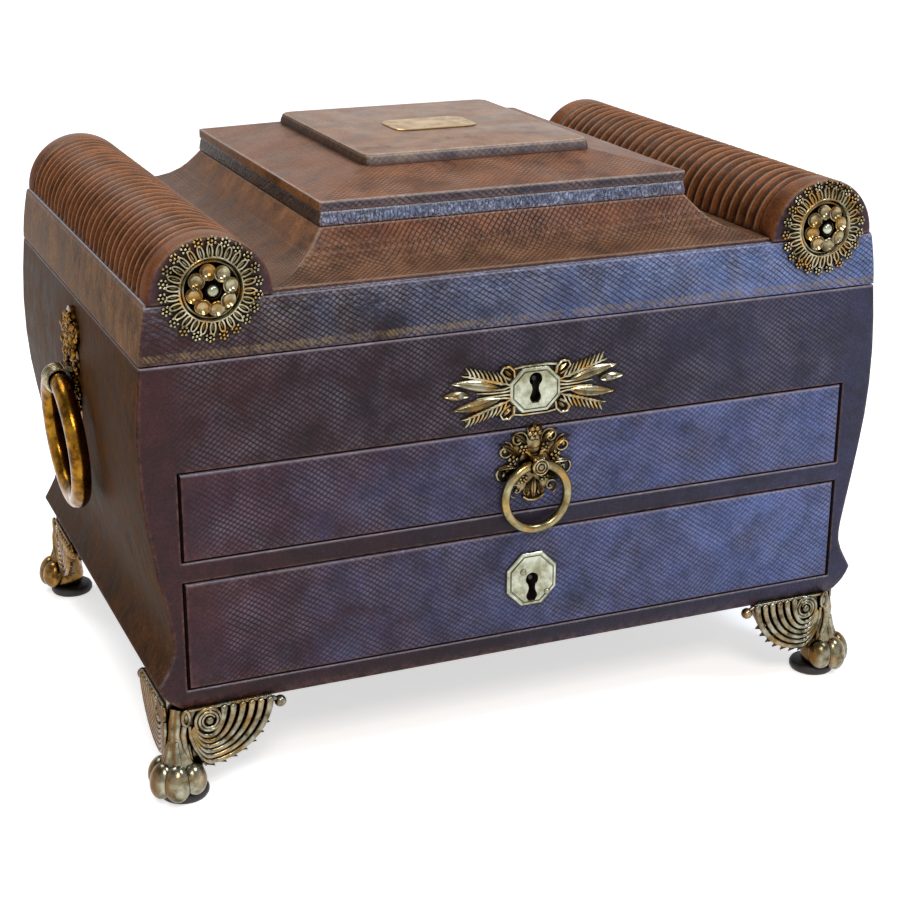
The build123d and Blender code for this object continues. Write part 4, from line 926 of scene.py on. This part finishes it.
def scroll(form, seat, middle, size, turns, start, thick):
    """Wire scroll that opens outwards from its eye."""
    path, thicks = [], []
    steps = int(14 * abs(turns)) + 2
    height = 0.6
    for k in range(steps + 1):
        t = k / steps
        path.append((*polar(size * (0.22 + 0.78 * t), start + TAU * turns * t, middle), height))
        thicks.append(thick * (1.0 - 0.35 * t))
    form.wire(path, thicks, seat)
    form.ball((*middle, height), size * 0.24, seat)


def flower(form, seat, middle, size, petals, height, turn=0.0):
    """Small cast flower: round petals about a bead."""
    for spin in turns(petals):
        form.ball((*polar(size * 0.62, turn + spin, middle), height),
                  (size * 0.38, size * 0.38, size * 0.3), seat)
    form.ball((*middle, height + size * 0.15), size * 0.3, seat)


def round_profile(reach, tube, sides):
    """Round section of a ring, for a hoop."""
    return [polar(tube, turn, (reach, 0.0)) for turn in turns(sides)]


def pull():
    """Ring pull on the upper drawer: pierced scroll plate, strap eye with a turned boss, and the ring."""
    seat = on_front(0, pull_eye_z)
    form = Form()
    for x, y, size in ((0, 0, 6.0), (0, 8.2, 3.4), (7.6, 4.6, 2.6), (-7.6, 4.6, 2.6), (9.8, -3.2, 2.2),
                       (-9.8, -3.2, 2.2), (4.6, -8.8, 2.4), (-4.6, -8.8, 2.4), (0, -8.0, 3.2)):
        form.turned([(size, 0), (size, 0.5), (size * 0.8, 0.75), (0.2, 0.8)], moved(seat, x, y), 16)
    for side, name in SIDES:
        flip = seat @ Matrix.Scale(side, 4, (1, 0, 0))
        for middle, size, turns, start, thick in (
            ((6.6, 9.6), 4.3, 1.15, 3.4, 0.62), ((12.2, 5.8), 3.8, -1.1, 2.2, 0.6), ((12.6, -3.8), 3.9, 1.2, 1.2, 0.62),
            ((7.2, -10.6), 3.2, -1.1, -0.6, 0.55), ((2.6, -12.0), 2.2, 1.0, 2.6, 0.5),
        ):
            scroll(form, flip, middle, size, turns, start, thick)
        for middle, size, turn in (((8.8, 1.6), 2.5, 0.4), ((4.6, 5.6), 2.2, 1.0), ((4.4, -6.4), 2.1, 0.2)):
            flower(form, flip, middle, size, 5, 1.0, turn)
        for start, tip, wide in (((3.0, 7.5), (9.8, 12.6), 2.6), ((6.4, 3.0), (15.0, 9.2), 2.4),
                                 ((7.0, -1.0), (16.0, -1.6), 2.4), ((4.0, -5.0), (10.5, -8.4), 2.2),
                                 ((1.0, -7.0), (3.2, -14.6), 2.0), ((1.6, 9.0), (3.4, 15.2), 2.2)):
            form.leaf(start, tip, wide, 0.9, flip, bend=0.5, height=0.7, steps=6)
        form.wire([(0.0, -15.4, 0.7), (2.4, -15.0, 0.7), (4.4, -13.6, 0.7)], 0.6, flip)
    flower(form, seat, (0, 11.6), 3.2, 6, 1.0)
    form.leaf((0, 9.0), (0, 16.0), 3.4, 1.0, seat, height=0.7)
    form.leaf((0, -6.0), (0, -15.6), 3.0, 1.0, seat, height=0.7)
    make("pull_plate_brass", form, plate_brass, "upper_drawer", ("pull_plate",))

    eye = Form()
    ring_y = (low("pull_ring").y + high("pull_ring").y) / 2
    eye.hoop([(2.1, -2.5), (3.2, -2.5), (3.55, -2.2), (3.6, -1.2), (3.3, -0.9), (3.3, 0.9), (3.6, 1.2), (3.55, 2.2),
              (3.2, 2.5), (2.1, 2.5)], seat_at((0, ring_y, pull_eye_z), (0, 1, 0), (0, 0, 1)), 40)
    boss = on_front(0, pull_eye_z, ring_y)
    eye.turned([(3.3, 2.6), (3.4, 3.7), (3.1, 4.1), (2.75, 4.1), (2.5, 3.6), (2.25, 3.6), (2.0, 4.1), (1.65, 4.1),
                (1.4, 3.6), (1.15, 3.6), (0.85, 4.2), (0.2, 4.3)], boss, 36)
    for x in (-1, 1):
        eye.wire([(x * 1.9, 3.0, -1.6), (x * 3.0, 4.4, -2.0), (x * 4.2, 5.0, -2.1)], 0.7, boss)
    eye.slab(corners(-2.3, -3.2, 2.3, 3.2), (-2.2, -3.4), boss)
    make("pull_eye_brass", eye, tooled_brass, "upper_drawer", ("pull_eye",), round_edge=0.15, sharp=40)

    ring = Form()
    middle_z = (low("pull_ring").z + high("pull_ring").z) / 2
    ring.hoop(round_profile(13.1, 1.85, 20), on_front(0, middle_z, ring_y), 96)
    make("pull_ring_brass", ring, ring_brass, "upper_pull_ring", ("pull_ring",), sharp=60)


def wall_at(z):
    """Reach of the swelling wall at a height, in between the swell's own rows."""
    share = (seam_z - z) / (seam_z - foot_z)
    for (first, near), (last, far) in zip(swell, swell[1:]):
        if first <= share <= last:
            return near + (far - near) * (share - first) / (last - first)
    return 0.0


def handles():
    """Ring handles on the ends: a plate crowded with cast leaves and beads, a ribbed strap eye and the ring."""
    eye_z = (low("handle_eye_right").z + high("handle_eye_right").z) / 2
    ring_x = high("handle_eye_right").x - handle_eye_reach
    widest = max(reach for share, reach in swell)
    lobes = ((0, 18, 6.0), (7.2, 14, 5.6), (-7.2, 14, 5.6), (8.4, 4, 5.2), (-8.4, 4, 5.2), (0, 3, 10.0),
             (7.0, -7.0, 6.0), (-7.0, -7.0, 6.0), (5.6, -15.5, 6.0), (-5.6, -15.5, 6.0), (0, -20, 5.0))
    for side, name in SIDES:
        seat = seat_at((side * high("handle_plate_right").x, 0.0, seam_z - 28.0), (0, side, 0), (0, 0, 1))
        dice = random.Random(41)
        form = Form()
        for x, y, size in lobes:
            form.turned([(size, -4.6), (size, -1.8), (size * 0.85, -1.4), (0.2, -1.3)], moved(seat, x, y), 20)
        for x, y, size in lobes:
            for k in range(int(size * 2.6)):
                spin, far_out = dice.uniform(0, TAU), size * dice.uniform(0.15, 1.02)
                bead = dice.uniform(0.8, 1.5)
                form.ball((*polar(far_out, spin, (x, y)), -1.2 + dice.uniform(-0.3, 0.3)), (bead, bead, bead * 0.85),
                          seat)
            for k in range(5):
                spin = dice.uniform(0, TAU)
                form.leaf(polar(size * 0.2, spin, (x, y)), polar(size * 1.05, spin, (x, y)), 2.6, 1.2, seat,
                          bend=dice.uniform(-0.8, 0.8), height=-1.3, steps=6)
        for x, y, size in ((0, 19, 3.0), (0, 10.5, 3.4), (5.5, 14.5, 2.4), (-5.5, 14.5, 2.4), (0, -13.0, 2.6),
                           (0, -20.0, 2.6)):
            flower(form, seat, (x, y), size, 6, -0.7)
        # The plate is bent along the swelling wall
        for point in form.points:
            point.x -= side * (widest - wall_at(min(point.z, eye_z - 4.0)))
        make("handle_plate_brass_" + name, form, gold_brass, "case", ("handle_plate_" + name,))

        eye = Form()
        profile = [(4.25, -4.0), (5.1, -4.0)]
        for rib in range(4):
            y = -4.0 + 2.0 * rib
            profile += [(5.2, y + 0.15), (5.6, y + 0.55), (5.66, y + 1.0), (5.6, y + 1.45), (5.2, y + 1.85)]
        profile += [(5.1, 4.0), (4.25, 4.0)]
        eye.hoop(profile, seat_at((side * ring_x, 0, eye_z), (1, 0, 0), (0, 0, 1)), 48)
        for k in (-1, 1):
            eye.loft([[(side * x, y, eye_z + z) for y, z in corners(-3.8, k * 3.2, 3.8, k * 5.5)]
                      for x in (152.2, ring_x - 2.0)])
        make("handle_eye_brass_" + name, eye, tooled_brass, "case", ("handle_eye_" + name,), round_edge=0.15, sharp=40)

        ring = Form()
        out, down = sin(handle_lean), cos(handle_lean)
        hang = seat_at((side * (ring_x - handle_ring * out), 0, eye_z - handle_ring * down), (0, 1, 0),
                       (side * out, 0, down))
        ring.hoop(round_profile(handle_ring, handle_tube, 28), hang, 120)
        make("handle_ring_brass_" + name, ring, gold_brass, name + "_handle", ("handle_ring_" + name,), sharp=60)


def wing(form, seat):
    """Cast scroll wing: a volute, ribs like organ pipes that sweep under it, and leaf tips along the lower edge."""
    eye_x, eye_y = volute
    outline = [(6.0, 1.0), (38.0, 1.0), (40.0, -1.0), (38.6, -5.6), (35.2, -11.4), (31.8, -15.8), (27.2, -19.4),
               (21.0, -21.6), (14.5, -22.4), (9.0, -22.6), (7.6, -15.0), (6.4, -8.0)]
    form.slab(outline, (-3.4, -0.7), seat)
    form.wire([(7.0, 0.2, -0.3), (20.0, 0.2, -0.3), (39.6, 0.0, -0.3)], 0.7, seat)
    spiral, thick = [], []
    for k in range(64):
        t = k / 63
        spiral.append((*polar(5.5 - 3.3 * t**0.8, radians(-150 - 900 * t), volute), 0.5 * t))
        thick.append(0.85 - 0.35 * t)
    form.wire(spiral, thick, seat, 8)
    form.ball((eye_x, eye_y, 0.5), (1.7, 1.7, 1.3), seat, 6, 14)
    for k in range(6):
        top, deep, left = 20.9 + 3.55 * k, 6.6 + 2.15 * k, 5.6 + 0.3 * k
        sweep = [pi / 2 * step / 9 for step in range(9)]
        path = [(eye_x + (top - eye_x) * cos(t), -0.9 - (deep + 4.0) * sin(t) ** 1.15, 0.0) for t in sweep]
        path += [(eye_x - left * sin(t), eye_y - deep * cos(t), -0.1 * step / 9) for step, t in enumerate(sweep)]
        thick = [1.62 - 1.0 * (step / (len(path) - 1)) ** 0.8 for step in range(len(path))]
        form.wire(path, thick, seat, 10)
        form.ball((top, -1.1, 0.1), (1.7, 1.7, 1.4), seat, 5, 10)
    for k in range(9):
        turn, lean = radians(28 + 10.5 * k), radians(-14 - 7.5 * k)
        x, y = eye_x + 22.0 * cos(turn), -0.9 - 20.3 * sin(turn) ** 1.1
        form.leaf((x - 1.2, y + 1.4), polar(4.2, lean, (x, y)), 3.4, 1.3, seat, bend=-0.6, height=-1.0, steps=7)
    form.ball((43.0, -3.0, -1.0), 2.35, seat, 8, 16)
    form.wire([(38.6, -0.6, -0.8), (40.4, -1.2, -0.9), (42.2, -2.2, -1.0)], [1.2, 1.0, 0.9], seat, 8)
    # Oval knob at the root of the wing and the two straps that run from it down to the toes
    oval = [(6.3 + 1.3 * cos(t), -2.6 + 3.0 * sin(t), 0.3) for t in turns(20)]
    form.wire(oval, 0.75, seat, 8, closed=True)
    form.ball((6.3, -2.6, 0.0), (1.0, 2.4, 1.0), seat, 6, 10)
    form.wire([(5.6, -5.6, 0.2), (4.9, -9.0, 0.4), (5.4, -14.0, 0.6), (6.6, -19.0, 0.4), (8.6, -24.0, -0.6)],
              [1.0, 1.15, 1.1, 1.0, 0.5], seat, 8)
    form.wire([(7.4, -5.8, 0.0), (7.6, -10.0, 0.1), (9.2, -15.5, 0.2), (11.6, -20.5, 0.0), (13.4, -24.0, -0.8)],
              [0.8, 0.9, 0.9, 0.8, 0.4], seat, 8)


def leg(form, seat):
    """Fluted leg that leans out as it comes down, and a paw of four swelling toes."""
    rings = []
    for z, middle, half, flutes in (
        (3.9, 3.6, 6.8, 0.0), (5.0, 3.4, 8.0, 0.0), (8.0, 3.2, 8.8, 0.0), (11.5, 3.2, 8.4, 0.0), (14.5, 3.4, 7.0, 0.2),
        (17.0, 3.8, 6.0, 0.5), (20.0, 4.2, 5.4, 0.8), (24.0, 4.7, 5.1, 0.8), (28.0, 5.2, 5.1, 0.8),
        (32.0, 5.8, 5.3, 0.8), (base_z, 6.8, 5.5, 0.8),
    ):
        ring = []
        for spin in turns(72):
            reach = half * (1 + flutes * 0.11 * (abs(sin(5 * (spin - radians(225)))) - 0.6))
            ring.append((*polar(reach, spin, (middle, middle)), z))
        rings.append(ring)
    form.loft(rings, seat)
    for off, low_end, tall in ((-78, 4.0, 12.6), (-26, 2.6, 14.4), (26, 2.6, 14.4), (78, 4.0, 12.6)):
        toe = moved(seat, paw_in, paw_in) @ Matrix.Rotation(radians(225 + off), 4, "Z")
        lean = moved(toe, paw_reach - 4.5, 0, low_end + tall / 2) @ Matrix.Rotation(radians(-12), 4, "Y")
        form.ball((0, 0, 0), (4.4, 5.2, tall / 2), lean, 14, 24)
        form.wire([(6.2, 0, 13.0), (4.6, 0, 17.0), (3.8, 0, 21.0), (3.4, 0, 25.0)], [2.6, 1.8, 1.2, 0.7], toe, 10)


def feet():
    """Four cast feet, each a paw under the corner with a scroll wing along each wall; pads of black leather."""
    pads = Form()
    wall_out = 1.5
    along_front = Matrix(((1, 0, 0, 0), (0, 0, -1, 0), (0, 1, 0, base_z), (0, 0, 0, 1)))
    along_side = Matrix(((0, 0, -1, 0), (1, 0, 0, 0), (0, 1, 0, base_z), (0, 0, 0, 1)))
    for sy, row, brass in ((-1, "front_", foot_brass), (1, "back_", back_foot_brass_shaded)):
        for (sx, end), own_x in zip(SIDES, (146.4, 142.4)):
            own = Matrix.Translation((sx * own_x, sy * (half_deep + wall_out), 0)) @ Matrix.Diagonal((-sx, -sy, 1, 1))
            form = Form()
            leg(form, own)
            wing(form, own @ along_front)
            wing(form, own @ along_side)
            form.slab(corners(0.8, 6.0, 8.0, 38.0), (base_z - 3.0, base_z + 3.2), own)
            make("foot_brass_" + row + end, form, brass, "case", ("foot_" + row + end,), sharp=60)
            pads.turned([(7.4, 0.0), (8.8, 0.3), (9.4, 1.3), (9.5, 2.5), (9.0, 3.6), (8.2, 4.0), (0.5, 4.1)],
                        moved(own, paw_in + 2.2, paw_in + 2.2), 44)
    make("pads_black", pads, black_pad, "case", ("foot_pads",), "pad_black")


for build in (carcase, lid_box, lid_tiers, bolsters, drawer_fronts, rosettes, escutcheons, leaf_sprays, pull,
              handles, feet):
    build()

# Fittings and insides whose shape is already right in the frame
for skin, names in (
    (wood_inside, ("compartment_floor", "tray_ledges")),
    (drawer_wood, ("upper_drawer_box", "upper_drawer_bottom", "lower_drawer_box", "lower_drawer_bottom",
                   "desk_divider", "pen_tray", "lift_out_tray")),
    (tooled_brass, ("hinge_case_leaves", "hinge_lid_leaves", "hinge_pins", "inkwell_cap", "flap_pin", "lid_striker")),
    (lock_iron, ("lid_lock", "lid_lock_bolt", "drawer_lock", "drawer_lock_bolt")),
    (flap_skin, ("writing_flap",)),
    (ink_glass, ("inkwell",)),
):
    for name in names:
        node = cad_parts[name]
        node.data.materials.clear()
        node.data.materials.append(skin)

[[list(corner) for corner in box] for box in (solid_box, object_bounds())]
